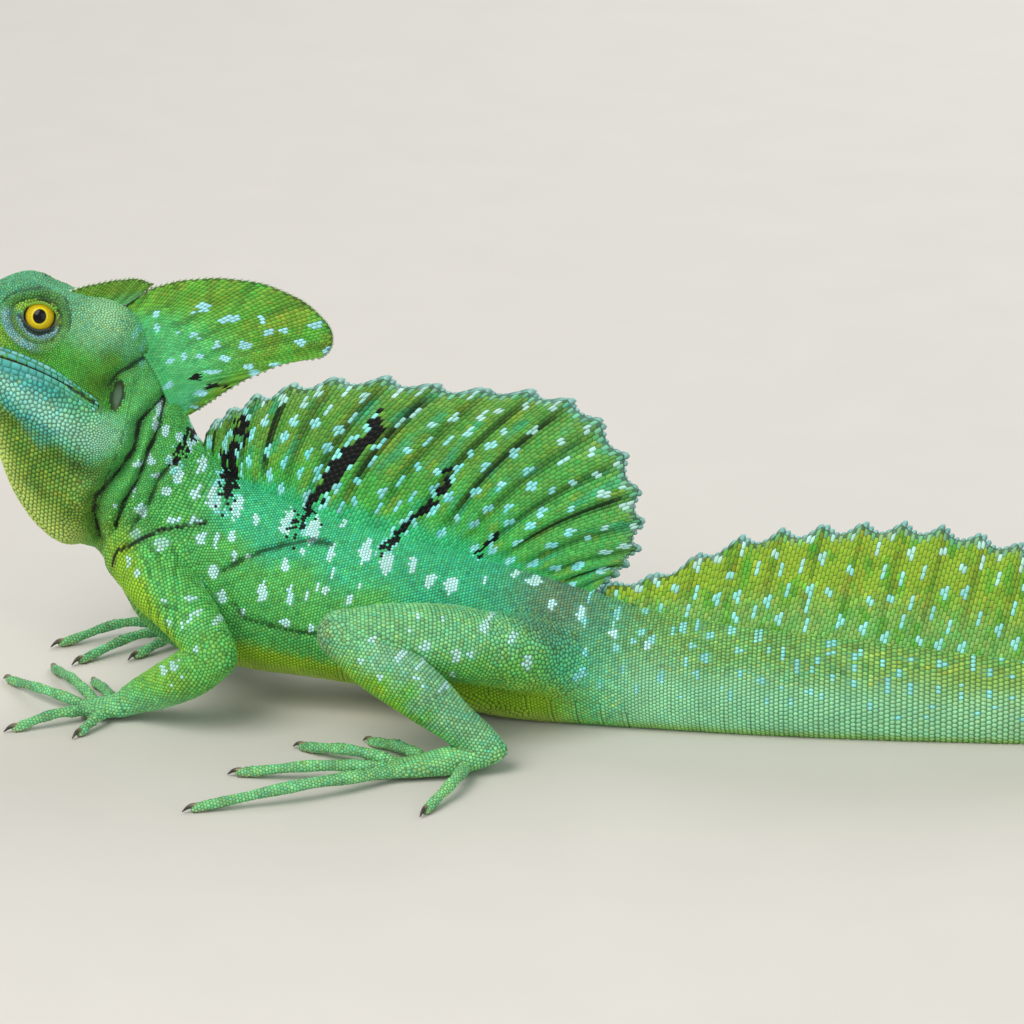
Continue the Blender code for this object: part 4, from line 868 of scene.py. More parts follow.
def limb_marks(points, number):
    """Colours of the arms and legs; number tells the tube of each point."""
    x, y, z = points.T
    blur = mottle(points, 8.0, 17)
    row = number % 10
    leg, hand, toe = row > TOE, row % 4 >= PALM, row % 4 == TOE
    upper, arm_low, shank = row == UPPER, row <= LOWER, row == 4 + LOWER
    lift = z + 2 * blur
    away = np.hypot(x + 101, z - 30)
    # Painted shade in the wrinkles round the shoulder.
    wrinkle = smooth_step(0.5, 0.95, np.sin(away * 2.3 + 0.6 * blur))
    wrinkle = wrinkle * smooth_step(24, 20, away) * smooth_step(9, 13, away)
    lower_edge = smooth_step(3, -3, z - np.interp(x, [-98, -88, -78, -70, -62], [36, 24, 19, 17, 18]))
    colour = layered(
        "#6abf58",
        ("#7ecb8e", np.where(leg, smooth_step(23, 33, lift), smooth_step(26, 36, lift)) * 0.85),
        ("#86bfa0", 0.6 * shank * smooth_step(-4, 10, x - (-30 + (35 - z) * 0.9) + 4 * blur)),
        ("#86bf30", shank * smooth_step(3, -5, x - (-28 + (33 - z) * 0.85) + 2 * blur) * smooth_step(33, 24, z) * 0.85),
        ("#7d9f72", leg * hill((x, -42, 8), (z, 34, 7)) * 0.7),
        ("#93cf4a", leg * smooth_step(22, 15, lift) * (x > -30) * ~shank * 0.8),
        ("#8fc33a", 0.5 * arm_low * lower_edge * smooth_step(-70, -80, x) * smooth_step(10, 16, z)),
        ("#62c45c", upper * smooth_step(24, 34, z) * 0.9),
        ("#9acc26", upper * smooth_step(3, -4, x + 84 - (30 - z) * 0.9) * 0.9),
        ("#2c6a24", wrinkle * upper * 0.6),
        ("#80cf8e", np.maximum(hand, smooth_step(14, 5, z) * np.where(leg, shank, arm_low)) * 0.85),
        ("#5f8f6c", toe * smooth_step(0.2, 0.8, np.sin((x + 0.6 * y) / 1.9)) * 0.3),
        ("#a9bd8b", smooth_step(1.6, 0.3, z) * hand),
    )
    moved = points.copy()
    moved[:, 0] -= np.where(y > 0, np.where(leg, RIGHT_LEG_SHIFT, RIGHT_ARM_SHIFT), 0)
    pale = spotted(moved, LIMB_SPOTS, 0.25) * (abs(y) > 8)
    return paint_crease_shade(blend(colour, "#bdf0ea", pale * 0.85), points, SIDE_FOLDS[3:4])


def surface_of(obj):
    """What points are snapped to: a search tree of the triangles and their smooth normals."""
    points, triangles, normals = mesh_arrays(obj)
    tree = BVHTree.FromPolygons(points.tolist(), triangles.tolist())
    return {"tree": tree, "normals": unit(normals[triangles].mean(1)), "points": points, "triangles": triangles}


def snap(surface, points):
    """The nearest places on the skin, the normals there and how far the points were."""
    hits = [surface["tree"].find_nearest(point) for point in points.tolist()]
    found = np.array([hit[0] for hit in hits])
    return found, surface["normals"][[hit[2] for hit in hits]], np.array([hit[3] for hit in hits])


def point_tree(points, numbers=None):
    """A search tree of points, each with its place in the row or its own number."""
    tree = KDTree(len(points))
    for i, point in zip(range(len(points)) if numbers is None else numbers, points.tolist()):
        tree.insert(point, i)
    tree.balance()
    return tree


def nearest(tree, points):
    """The number of the nearest point of the tree, and how far away it is."""
    hits = [tree.find(point) for point in points.tolist()]
    return np.array([hit[1] for hit in hits]), np.array([hit[2] for hit in hits])


def neighbours(points):
    """The ten nearest points of each point, itself left out."""
    tree = point_tree(points)
    return np.array([[hit[1] for hit in tree.find_n(point, 11)[1:]] for point in points.tolist()])


def cells(points, normals, along, size, sides, offsets):
    """Corners of the patch of skin that belongs to each point, between it and its neighbours."""
    near = neighbours(points)
    first = unit(along - normals * dots(along, normals)[:, None])
    second = np.cross(normals, first)
    gap = points[near] - points[:, None]
    x, y = dots(gap, first[:, None]), dots(gap, second[:, None])
    limit = dots(gap, gap) * (size[:, None] / (size[:, None] + size[near]))
    limit[dots(normals[near], normals[:, None]) < 0.1] = 1e3
    best, best_area, best_turn = None, np.full(len(points), -1.0), np.zeros(len(points))
    for offset in offsets:
        turn = offset + np.arange(sides) * TURN / sides
        ahead = x[..., None] * np.cos(turn) + y[..., None] * np.sin(turn)
        reach = np.where(ahead > 1e-6, limit[..., None] / np.maximum(ahead, 1e-6), 1e3).min(1)
        reach = np.minimum(reach, size[:, None] * 0.78)
        area = (reach * np.roll(reach, 1, 1)).sum(1)
        better = area > best_area
        best = reach if best is None else np.where(better[:, None], reach, best)
        best_turn, best_area = np.where(better, offset, best_turn), np.maximum(area, best_area)
    turn = best_turn[:, None] + np.arange(sides)[None] * TURN / sides
    return np.stack([best * np.cos(turn), best * np.sin(turn)], -1), first, second


def settle(points, size, fixed, surface):
    """Evens out the free points over the skin, in five rounds, each to the middle of its own patch."""
    points, normals, _ = snap(surface, points)
    for _ in range(5):
        flat, first, second = cells(points, normals, np.cross(normals, [0.3, 0.9, 0.2]), size, 10, (0.0,))
        nxt = np.roll(flat, -1, 1)
        area = flat[..., 0] * nxt[..., 1] - flat[..., 1] * nxt[..., 0]
        middle = ((flat + nxt) * area[..., None]).sum(1) / (3 * np.maximum(area.sum(1), 1e-9)[:, None])
        moved, turned, _ = snap(surface, points + (first * middle[:, :1] + second * middle[:, 1:]) * 0.9)
        points, normals = np.where(fixed[:, None], points, moved), np.where(fixed[:, None], normals, turned)
    return points, normals


def thin_out(points, size, share=0.80):
    """Keeps points in their order, and drops each one that is too close to one kept before."""
    tree = point_tree(points)
    keep, gone = np.zeros(len(points), bool), np.zeros(len(points), bool)
    for i, point in enumerate(points.tolist()):
        if gone[i]:
            continue
        keep[i] = True
        for _, j, distance in tree.find_range(point, share * size[i]):
            if not keep[j] and distance < share * 0.5 * (size[i] + size[j]):
                gone[j] = True
    return keep


def ring_lattice(grid, spacing):
    """Staggered rows of points round a grid of rings, with their directions and sizes."""
    closed, sizes = (np.concatenate([a, a[:, :1]], 1) for a in (grid, spacing))
    steps = np.linalg.norm(np.diff(closed, axis=1), axis=2)
    middle = (spacing + np.roll(spacing, -1, 1)) / 2
    density = np.concatenate([np.zeros((len(grid), 1)), np.cumsum(steps / middle, 1)], 1)
    values = np.concatenate([closed, np.gradient(closed, axis=0), sizes[..., None]], 2)
    found, count = [], 0
    for k in range(len(grid)):
        ideal = density[k, -1]
        if count == 0 or abs(ideal - count) > 0.045 * count + 0.6:
            count = max(5, int(round(ideal)))
        at = (np.arange(count) + 0.5 * (k % 2)) * ideal / count
        found.append(np.column_stack([np.interp(at, density[k], values[k, :, i]) for i in range(7)]))
    found = np.vstack(found)
    return found[:, :3], found[:, 3:6], found[:, 6]


def head_size(points):
    """Width of the scales of the head, the throat and the neck."""
    d, _, u = of_head(points).T
    below = mouth_height(d) - u
    size = 0.58 + (0.10 * smooth_step(15, 21, u) + 0.55 * smooth_step(22, 9, d) * smooth_step(0, 4, u))
    size += 0.50 * smooth_step(1.0, 3.5, below) * smooth_step(54, 44, d)
    size += 0.16 * smooth_step(9, 16, below) * smooth_step(56, 44, d)
    return size + 0.16 * smooth_step(62, 80, d)


def head_points(surface):
    """Free points for the small scales of the head, throat and neck: even rows, and what fills the rest."""
    corners = surface["points"][surface["triangles"]]
    region = head_place(corners.mean(1)) < PLACE[NECK_END] + 3
    region &= np.linalg.norm(np.cross(corners[:, 1] - corners[:, 0], corners[:, 2] - corners[:, 0]), axis=1) > 0
    loose = random_on(surface, region, head_size)
    rows = []
    for way in (-1, 1):
        for step, turn, low, high in ((0.58, 0.55, (37, -8), (62, 20)), (1.24, -0.45, (16, -50), (62, -12))):
            across, upward = np.array([math.cos(turn), math.sin(turn)]), np.array([-math.sin(turn), math.cos(turn)])
            n = int(90 / step)
            i, j = np.meshgrid(np.arange(-n, n), np.arange(-n, n))
            flat = ((i + 0.5 * (j % 2))[..., None] * across + (j * 0.87)[..., None] * upward).reshape(-1, 2) * step
            for at_d, at_u in flat[((flat > low) & (flat < high)).all(1)]:
                start = in_head(at_d, way * 40, at_u)
                hit, normal, _, _ = surface["tree"].ray_cast(start.tolist(), (SIDE * -way).tolist(), 38.0)
                if hit is not None and abs(np.dot(normal, SIDE)) > 0.75:
                    rows.append(hit)
    rows = np.array(rows)
    rows = rows[abs(head_size(rows) - np.where(of_head(rows)[:, 2] > -10, 0.58, 1.24)) < 0.10]
    return rows[head_place(rows) < PLACE[NECK_END] + 3], loose


def head_place(points):
    """Roughly how far along the body a point of the head or neck lies."""
    keys = SECTIONS[:len(HEAD_SECTIONS) + 8]
    centre, half = (keys[:, 1:4] + keys[:, 4:7]) / 2, keys[:, 1:4] - keys[:, 4:7]
    along = unit(np.gradient(centre, axis=0))
    normal = unit(np.cross(half, np.cross(along, half)))
    normal *= np.sign(dots(normal, along))[:, None]
    side = dots(points[:, None] - centre[None], normal[None])
    best = np.full(len(points), keys[-1, 0])
    for k in range(len(keys) - 2, -1, -1):
        between = (side[:, k] >= 0) & (side[:, k + 1] < 0)
        share = side[:, k] / np.maximum(side[:, k] - side[:, k + 1], 1e-9)
        best = np.where(between, keys[k, 0] + share * (keys[k + 1, 0] - keys[k, 0]), best)
    return np.where(side[:, 0] < 0, 0.0, best)


def add(tree, kind, inputs=(), **settings):
    """Adds a node with its settings. Inputs gives each socket a value, or a socket that it is linked to."""
    node = tree.nodes.new(kind)
    for name, value in settings.items():
        setattr(node, name, value)
    for socket, value in dict(inputs).items():
        if isinstance(value, bpy.types.NodeSocket):
            tree.links.new(value, node.inputs[socket])
        else:
            node.inputs[socket].default_value = value
    return node


def relief_tree():
    """Raises each flat patch of the coat to a scale, whose smaller top leans over the next one."""
    tree = bpy.data.node_groups.new("scale_relief", "GeometryNodeTree")
    for name, kind in (("Geometry", "Geometry"), ("Height", "Float"), ("Top share", "Float"), ("Material", "Material")):
        tree.interface.new_socket(name, in_out="INPUT", socket_type="NodeSocket" + kind)
    tree.interface.new_socket("Geometry", in_out="OUTPUT", socket_type="NodeSocketGeometry")

    def made(kind, inputs, **settings):
        return add(tree, kind, inputs, **settings).outputs[0]

    def stored(name, kind):
        return made("GeometryNodeInputNamedAttribute", {"Name": name}, data_type=kind)

    given = add(tree, "NodeGroupInput").outputs
    height = made("ShaderNodeMath", {0: stored("rise", "FLOAT"), 1: given["Height"]}, operation="MULTIPLY")
    raised = add(tree, "GeometryNodeExtrudeMesh", {
        "Mesh": given["Geometry"], "Offset Scale": height, "Individual": True}, mode="FACES").outputs
    shape = made("GeometryNodeScaleElements", {
        "Geometry": raised["Mesh"], "Selection": raised["Top"], "Scale": given["Top share"]}, domain="FACE")
    shape = made("GeometryNodeSetPosition", {
        "Geometry": shape, "Selection": raised["Top"], "Offset": stored("lean", "FLOAT_VECTOR")})
    shape = made("GeometryNodeStoreNamedAttribute", {
        "Geometry": shape, "Name": "crown", "Value": raised["Top"]}, data_type="FLOAT", domain="POINT")
    # On the map a scale's top lies nearer to its root than its rim does.
    place, root = stored("place", "FLOAT_VECTOR"), stored("root", "FLOAT_VECTOR")
    inward = made("ShaderNodeMath", {0: 1.0, 1: given["Top share"]}, operation="SUBTRACT")
    inward = made("ShaderNodeMath", {0: stored("crown", "FLOAT"), 1: inward}, operation="MULTIPLY")
    way = made("ShaderNodeVectorMath", {0: root, 1: place}, operation="SUBTRACT")
    step = made("ShaderNodeVectorMath", {0: way, "Scale": inward}, operation="SCALE")
    patch = made("ShaderNodeVectorMath", {0: place, 1: step}, operation="ADD")
    shape = made("GeometryNodeStoreNamedAttribute", {
        "Geometry": shape, "Name": "OFBake", "Value": patch}, data_type="FLOAT2", domain="CORNER")
    shape = made("GeometryNodeSetShadeSmooth", {"Geometry": shape, "Shade Smooth": True})
    shape = made("GeometryNodeRealizeInstances", {"Geometry": shape})
    shape = made("GeometryNodeSetMaterial", {"Geometry": shape, "Material": given["Material"]})
    add(tree, "NodeGroupOutput", {"Geometry": shape})
    return tree


RELIEF = relief_tree()
# Half the width of a scale's patch on the map.
PATCH_HALF = 0.0015


def raise_scales(name, scales, tints, rises, leans, material, height, share):
    """One piece of the coat: a scale on each outline, which is a ring of points in millimetres."""
    outlines, roots, normals, unwrap = scales
    count, sides = outlines.shape[:2]
    facing = np.cross(outlines[:, 1] - outlines[:, 0], outlines[:, 3] - outlines[:, 1])
    turned = dots(facing, normals) < 0
    outlines[turned] = outlines[turned][:, ::-1]
    mesh = bpy.data.meshes.new(name)
    mesh.vertices.add(count * sides)
    mesh.vertices.foreach_set("co", ((outlines.reshape(-1, 3) + SHIFT) * MM).ravel())
    mesh.loops.add(count * sides)
    mesh.loops.foreach_set("vertex_index", np.arange(count * sides))
    mesh.polygons.add(count)
    mesh.polygons.foreach_set("loop_start", np.arange(count) * sides)
    mesh.update(calc_edges=True)
    away = outlines - roots[:, None]
    size = np.linalg.norm(away, axis=2).max(1)[:, None, None]
    first = unit(away[:, 0])
    second = np.cross(normals, first)
    flat = np.stack([dots(away, first[:, None]), dots(away, second[:, None])], -1) / size
    place, level = unwrap[:, None] + flat * PATCH_HALF, np.zeros(count)
    for key, kind, socket, values in (
        ("tint", "FLOAT_COLOR", "color", np.repeat(np.column_stack([tints, level + 1]), sides, 0)),
        ("rise", "FLOAT", "value", np.repeat(rises + level, sides)),
        ("lean", "FLOAT_VECTOR", "vector", np.repeat(leans * MM + level[:, None], sides, 0)),
        ("place", "FLOAT_VECTOR", "vector", np.column_stack([place.reshape(-1, 2), np.repeat(level, sides)])),
        ("root", "FLOAT_VECTOR", "vector", np.repeat(np.column_stack([unwrap, level]), sides, 0)),
    ):
        mesh.attributes.new(key, kind, "POINT")
        mesh.attributes[key].data.foreach_set(socket, np.ravel(values))
    obj = new_object(name, mesh)
    modifier = obj.modifiers.new("scales", "NODES")
    modifier.node_group = RELIEF
    sockets = {item.name: item.identifier for item in RELIEF.interface.items_tree if item.in_out == "INPUT"}
    for socket, value in (("Height", height * MM), ("Top share", share), ("Material", material)):
        modifier[sockets[socket]] = value
    bake(obj)
    for key in ("rise", "lean", "place", "root"):
        obj.data.attributes.remove(obj.data.attributes[key])
    obj.data.uv_layers["OFBake"].active = True
    points = read(obj.data.vertices, "co", 3)
    points[:, 2] = np.maximum(points[:, 2], 0.0)
    obj.data.vertices.foreach_set("co", points.ravel())
    return obj


def random_on(surface, chosen, size_of):
    """Random points on some triangles of the skin, more where the scales are smaller."""
    a, b, c = (surface["points"][surface["triangles"][chosen, i]] for i in range(3))
    weight = np.linalg.norm(np.cross(b - a, c - a), axis=1) / 2 / size_of((a + b + c) / 3) ** 2
    total = int(weight.sum() * 5)
    pick = RNG.choice(len(a), total, p=weight / weight.sum())
    r, t = np.sqrt(RNG.random(total))[:, None], RNG.random(total)[:, None]
    return a[pick] * (1 - r) + b[pick] * (r * (1 - t)) + c[pick] * (r * t)


def body_unwrap(points, place):
    """Where points of the body lie on its unwrap: along it, and round it from the ridge of the back."""
    rows = cubic(SECTIONS, place)
    half, away = (rows[:, 0:3] - rows[:, 3:6]) / 2, points - (rows[:, 0:3] + rows[:, 3:6]) / 2
    high, out = dots(away, half) / dots(half, half), -dots(away, unit(np.cross(half, BACK[None]))) / rows[:, 6]
    return np.column_stack([0.01 + 0.98 * place / PLACE[-1], 0.02 + 0.45 * (np.arctan2(out, high) / TURN % 1.0)])


def body_lattice():
    """Staggered rows of scales over the trunk and the tail."""
    angles = np.linspace(0, TURN, 96, endpoint=False)
    places, at = [], PLACE[NECK_END] - 1.0
    end = PLACE[TORSO_END]
    while at < PLACE[-1] - 1.0:
        places.append(at)
        at += np.interp(at, [end - 10, end + 60, end + 300, PLACE[-1]], [0.80, 1.45, 1.5, 1.1])
    spacing = 0.86 + 0.30 * smooth_step(0.1, -0.7, np.cos(angles))[None]
    spacing = spacing + np.interp(places, [end, end + 80, end + 300], [0.0, 0.28, 0.10])[:, None]
    return ring_lattice(body_grid(np.array(places), angles), spacing)


def limb_lattice(n, number, keys):
    """Staggered rows of scales over one tube of the limbs, with their place on the unwrap."""
    form = number % 10 % 4
    spacing, row = ((1.08, 0.94), (1.0, 0.88), (1.0, 0.85), (0.9, 0.8))[form]
    grid = tube_grid(keys, max(4, int(tube_stations(keys, [0.0])[3] / row)), 48, form)
    if form == TOE:
        grid = with_caps(keys, grid, (50, 25))
    points, along, size = ring_lattice(grid, np.full(grid.shape[:2], spacing))
    centre = grid.mean(1)
    spot = np.argmin(np.linalg.norm(points[:, None] - centre[None], axis=2), 1)
    across, away = unit(grid[:, 0] - centre)[spot], points - centre[spot]
    angle = np.arctan2(dots(away, np.cross(unit(along), across)), dots(away, across)) / TURN % 1.0
    unwrap = np.column_stack([0.01 + 0.122 * (n % 8 + 0.94 * spot / len(grid)), 0.50 + 0.12 * (n // 8 + 0.92 * angle)])
    return points, along, size, unwrap


def place_scales(surface):
    """All the scales of the skin: point, normal, direction along, size, part and place on the unwrap."""
    found = []  # point, direction along, size, part, place on the unwrap and order of each group
    # The head and the neck.
    for rank, points in zip((0, 3), head_points(surface)):
        place = head_place(points)
        ahead, behind = (cubic(SECTIONS, place + step)[:, 0:6].reshape(-1, 2, 3).mean(1) for step in (2, -2))
        along = ahead - behind
        part = np.where(place < PLACE[0] - 4, 0, 1)
        found.append((points, along, head_size(points), part, body_unwrap(points, place), np.full(len(points), rank)))
    # The trunk and the tail, then the limbs.
    lattice, along, size = body_lattice()
    x = lattice[:, 0]
    place = np.interp(x, (SECTIONS[10:, 1] + SECTIONS[10:, 4]) / 2, SECTIONS[10:, 0])
    place = np.where(x > -60, place, head_place(lattice))
    groups = [(lattice, along, size, body_unwrap(lattice, place), np.where(x > 14, 3, 2), 0.7)]
    for n, (number, keys) in enumerate(LIMBS):
        lattice, *rest = limb_lattice(n, number, keys)
        groups.append((lattice, *rest, np.full(len(lattice), number), 0.45 if number % 10 % 4 == TOE else 0.6))
    for lattice, along, size, unwrap, part, reach in groups:
        hit, _, gap = snap(surface, lattice)
        keep = gap < reach
        found.append((hit[keep], along[keep], size[keep], part[keep], unwrap[keep], np.full(int(keep.sum()), 1)))
    points, along, size, part, unwrap, order = (np.concatenate(column) for column in zip(*found))
    # What fills the skin between them at the joints takes its part from the nearest scale.
    middle = surface["points"][surface["triangles"]].mean(1)
    near = np.zeros(len(middle), bool)
    for centre, reach in on_both_sides(
        ((-90, -13, 39, 15), (-93.5, -30.5, 5.6, 6), (-70.0, -36.0, 22.8, 9), (-103, -31.5, 2.4, 8)),
        ((6, -13, 22, 23), (-34.5, -40.4, 33, 11), (5.2, -42.6, 5.6, 7), (-13, -51.5, 2.6, 9)),
    ):
        near |= np.linalg.norm(middle - centre, axis=1) < reach * 1.25
    near &= middle[:, 2] > 0.05
    fill = random_on(surface, near, lambda p: np.full(len(p), 1.0))
    known = np.flatnonzero(order == 1)
    like, _ = nearest(point_tree(points[known], known.tolist()), fill)
    points, order = np.vstack([points, fill]), np.concatenate([order, np.full(len(fill), 2)])
    along, size, part, unwrap = (np.concatenate([a, a[like]]) for a in (along, size, part, unwrap))
    # Nothing grows on the eyes, in the ears, nostrils or mouth, or under the plates of the lips.
    keys = np.flatnonzero(clear_of_openings(points))
    keys = keys[np.argsort(order[keys], kind="stable")]
    keys = keys[thin_out(points[keys], size[keys])]
    points, along, size, part, unwrap, order = (a[keys] for a in (points, along, size, part, unwrap, order))
    points, normals = settle(points, size, order == 1, surface)
    keep = clear_of_openings(points) & (points[:, 2] > 0.02)
    return {"points": points[keep], "normals": normals[keep], "along": along[keep], "size": size[keep],
            "part": part[keep], "unwrap": unwrap[keep]}


# Heights of the two rows of plates on the upper and on the lower lip, at places back along the jaw.
LIP_ROWS = {
    True: (((0, 6, 20, 36, 50), (1.8, 1.9, 1.7, 1.2, 0.8)), ((0, 12, 16, 36, 50), (0.0, 0.0, 0.9, 1.0, 0.7))),
    False: (((0, 6, 20, 36, 50), (2.1, 2.5, 2.4, 1.5, 0.9)), ((0, 12, 16, 36, 50), (0.0, 0.0, 1.3, 1.3, 0.7))),
}


def lip_rows(backs, upper):
    """Heights of the two rows of plates on a lip at each place along the jaw."""
    return [np.interp(backs, *row) for row in LIP_ROWS[upper]]


def clear_of_openings(points):
    """Which points lie free of the eyes, the ears, the nostrils and the mouth."""
    d, s, u = of_head(points).T
    free = np.ones(len(points), bool)
    for way in (-1, 1):
        outward, ahead, rise = eye_axes(way)
        away = points - eye_centre(way)
        free &= np.linalg.norm(away, axis=1) > EYE_RADIUS + 0.3
        across, opening = np.hypot(away @ ahead, away @ rise), lid_opening(np.arctan2(away @ rise, away @ ahead))
        free &= ~((across < 5.0) & (away @ outward > 0) & (across < 1.16 * opening + 0.2))
        nostril = np.hypot(d - NOSTRIL_BACK, u - NOSTRIL_UP) < NOSTRIL_RADIUS + 0.35
        ear = np.hypot((d - EAR_BACK) / (EAR_HALF_LENGTH + 0.1), (u - EAR_UP) / (EAR_HALF_HEIGHT + 0.1)) < 1
        free &= ~((s * way > 0) & (nostril | ear))
    above = u - mouth_height(d)
    tall = np.where(above >= 0, sum(lip_rows(d, True)), sum(lip_rows(d, False)))
    return free & ~((d < MOUTH_CORNER + 1) & (abs(above) < tall + 0.3))


def lip_plates(surface):
    """Outlines of the long plates along both lips."""
    found = []
    line = np.array([point for point, _ in mouth_path()])
    run, backs = run_length(line), of_head(line)[:, 0]
    draw = np.random.default_rng(29)
    for upper, row in ((True, 0), (True, 1), (False, 0), (False, 1)):
        at = 0.3 + 0.7 * row
        while at < run[-1] - 0.6:
            length = float(np.interp(np.interp(at, run, backs), [0, 10, 25, 50], [2.2, 3.2, 2.8, 1.4]))
            length *= draw.uniform(0.85, 1.15) * (0.8 if row else 1)
            start, at = at, at + length
            rows = lip_rows(float(np.interp((start + at) / 2, run, backs)), upper)
            if rows[row] < 0.5:
                continue
            low = 0.17 + (rows[0] + 0.02 if row else 0)
            ring = []
            for t, h in ((0, 0.04), (0.5, 0), (1, 0.04), (1, 0.80), (0.85, 1.0), (0.15, 1.0), (0, 0.80)):
                base = np.array([np.interp(start + length * (0.02 + 0.96 * t), run, line[:, i]) for i in range(3)])
                ring.append(base + UP * (low + h * (rows[row] - 0.06)) * (1 if upper else -1))
            found.append(ring)
    outlines = np.array(found)
    hit, normal, _ = snap(surface, outlines.reshape(-1, 3))
    return hit.reshape(outlines.shape), normal.reshape(outlines.shape).mean(1)


# The ridge of the back, which the sail and the crest of the tail grow from.
RIDGE_ROWS = cubic(SECTIONS, np.linspace(PLACE[0], PLACE[-1], 1200))
RIDGE_RUN = unit(np.gradient(RIDGE_ROWS[:, 0:2] + RIDGE_ROWS[:, 3:5], axis=0))


def ridge(x):
    """Points on the ridge of the back at these x, and the way to the right side there."""
    columns = (*RIDGE_ROWS[:, :3].T, -RIDGE_RUN[:, 1], RIDGE_RUN[:, 0])
    at = [np.interp(x, RIDGE_ROWS[:, 0], values) for values in columns]
    return np.column_stack(at[:3]), np.column_stack([*at[3:], 0 * x])


def scallop(place, rays):
    """0 to 1 along the edge: a point at each ray and a hollow between two."""
    return 1 - np.sin(math.pi * ((place * rays) % 1.0))


def ray_half(v, phase, root, edge, ray):
    """Half the thickness of a fin, which thins out to the edge and swells along each ray."""
    return root * 0.9 + (edge * 0.8 - root * 0.9) * v**0.6 + ray * (0.5 + 0.5 * np.cos(phase)) ** 4 * (1 - 0.6 * v)


def sail_sheet(u, v):
    """Middle of the sail, its half thickness, the way to the right and how its pleats sway there."""
    row = cubic(np.column_stack([np.linspace(0, 1, len(SAIL_RAYS)), SAIL_RAYS]), u)
    root, _ = ridge(row[:, 0])
    tip = np.column_stack([row[:, 1], root[:, 1], row[:, 2]])
    length = np.linalg.norm(tip - root, axis=1)
    point = (scallop(u, SAIL_RAY_COUNT) - 0.5) * np.minimum(1, length / 20)
    tip = tip + unit(tip - root) * (SAIL_SCALLOP * point)[:, None]
    foot = root - np.array([0, 0, 2.2])
    bow = np.array([[-1.0, 0, 0.6]]) * (length * 0.05 * np.sin(math.pi * v))[:, None]
    phase = TURN * u * SAIL_RAY_COUNT
    sway = 0.62 * np.sin(phase + 0.7 * np.sin(9 * u)) * smooth_step(0.02, 0.25, v) * (1 - 0.25 * v)
    return (foot + (tip - foot) * v[:, None] + bow, ray_half(v, phase, SAIL_ROOT, SAIL_EDGE, 0.30),
            np.array([[0, 1.0, 0]]), sway * np.minimum(1, length / 15))


def tail_crest_sheet(u, v):
    """The same for the crest of the tail."""
    x = TAIL_CREST[0][0] + (TAIL_CREST[-1][0] - TAIL_CREST[0][0]) * u
    root, right = ridge(x)
    height = cubic(TAIL_CREST, x)[:, 0] - root[:, 2]
    height = height + TAIL_CREST_SCALLOP * (scallop(u, TAIL_CREST_RAYS) - 0.5) * np.minimum(1, height / 12)
    run = np.column_stack([right[:, 1], -right[:, 0], 0 * x])
    phase = TURN * u * TAIL_CREST_RAYS
    sway = 0.42 * np.sin(phase + 0.6 * np.sin(11 * u)) * smooth_step(0.02, 0.25, v) * (1 - 0.5 * u)
    rise = np.column_stack([0 * x, 0 * x, height + 1.8]) + run * (TAIL_CREST_LEAN * height)[:, None]
    half = ray_half(v, phase, TAIL_CREST_ROOT, TAIL_CREST_EDGE, 0.26) * (1 - 0.45 * u)
    return root - np.array([0, 0, 1.8]) + rise * v[:, None], half, right, sway


def crown_point(x, z):
    """A point of the middle plane of the head over the crown, which follows the head's turn."""
    return np.column_stack([x, SNOUT[1] + 0.9 + (x - SNOUT[0] - 4.6) * math.tan(HEAD_YAW), z])


def head_crest_sheet(outline, ripples, flare):
    """The same for a crest of the head."""
    keys = np.column_stack([np.linspace(0, 1, len(outline)), outline])

    def sheet(u, v):
        root_x, root_z, edge_x, edge_z = cubic(keys, u).T
        root, edge = crown_point(root_x, root_z), crown_point(edge_x, edge_z)
        length = np.linalg.norm(edge - root, axis=1)
        half = CREST_ROOT + (CREST_EDGE * 0.8 - CREST_ROOT) * v**0.5
        half = half + flare * np.minimum(1, length / 14) * np.exp(-v * length / 3.0) * smooth_step(1.0, 0.75, u)
        sway = 0.22 * np.sin(TURN * u * ripples + 2.2 * np.sin(7 * u)) * smooth_step(0.05, 0.4, v)
        return root + (edge - root) * v[:, None], half, SIDE[None], sway
    return sheet


def sheet_side(sheet, u, v, way):
    """Points on one side of a fin, or between the two where way is 0."""
    middle, half, right, sway = sheet(u, v)
    return middle + right * (way * half + sway)[:, None]


def fin_body(name, sheet, columns, rows):
    """A closed fin with pleats."""
    u, v = np.meshgrid(np.linspace(0, 1, columns + 1), np.linspace(0, 1, rows + 1), indexing="ij")
    near, far = (sheet_side(sheet, u.ravel(), v.ravel(), way) for way in (-1, 1))
    index = np.arange(u.size).reshape(u.shape)
    quads = np.stack([index[:-1, :-1], index[1:, :-1], index[1:, 1:], index[:-1, 1:]], -1).reshape(-1, 4)
    border = np.concatenate([index[:-1, 0], index[-1, :-1], index[:0:-1, -1], index[0, :0:-1]])
    nxt = np.roll(border, -1)
    rim = np.stack([border, nxt, nxt + u.size, border + u.size], -1)
    return closed_object(name, np.vstack([near, far]), np.vstack([quads, quads[:, ::-1] + u.size, rim]).tolist())


# Corners of a long scale of a fin, across and along its column.
FIN_SCALE = ((0.418, -0.49), (0.5035, 0.0), (0.418, 0.49), (-0.418, 0.49), (-0.5035, 0.0), (-0.418, -0.49))


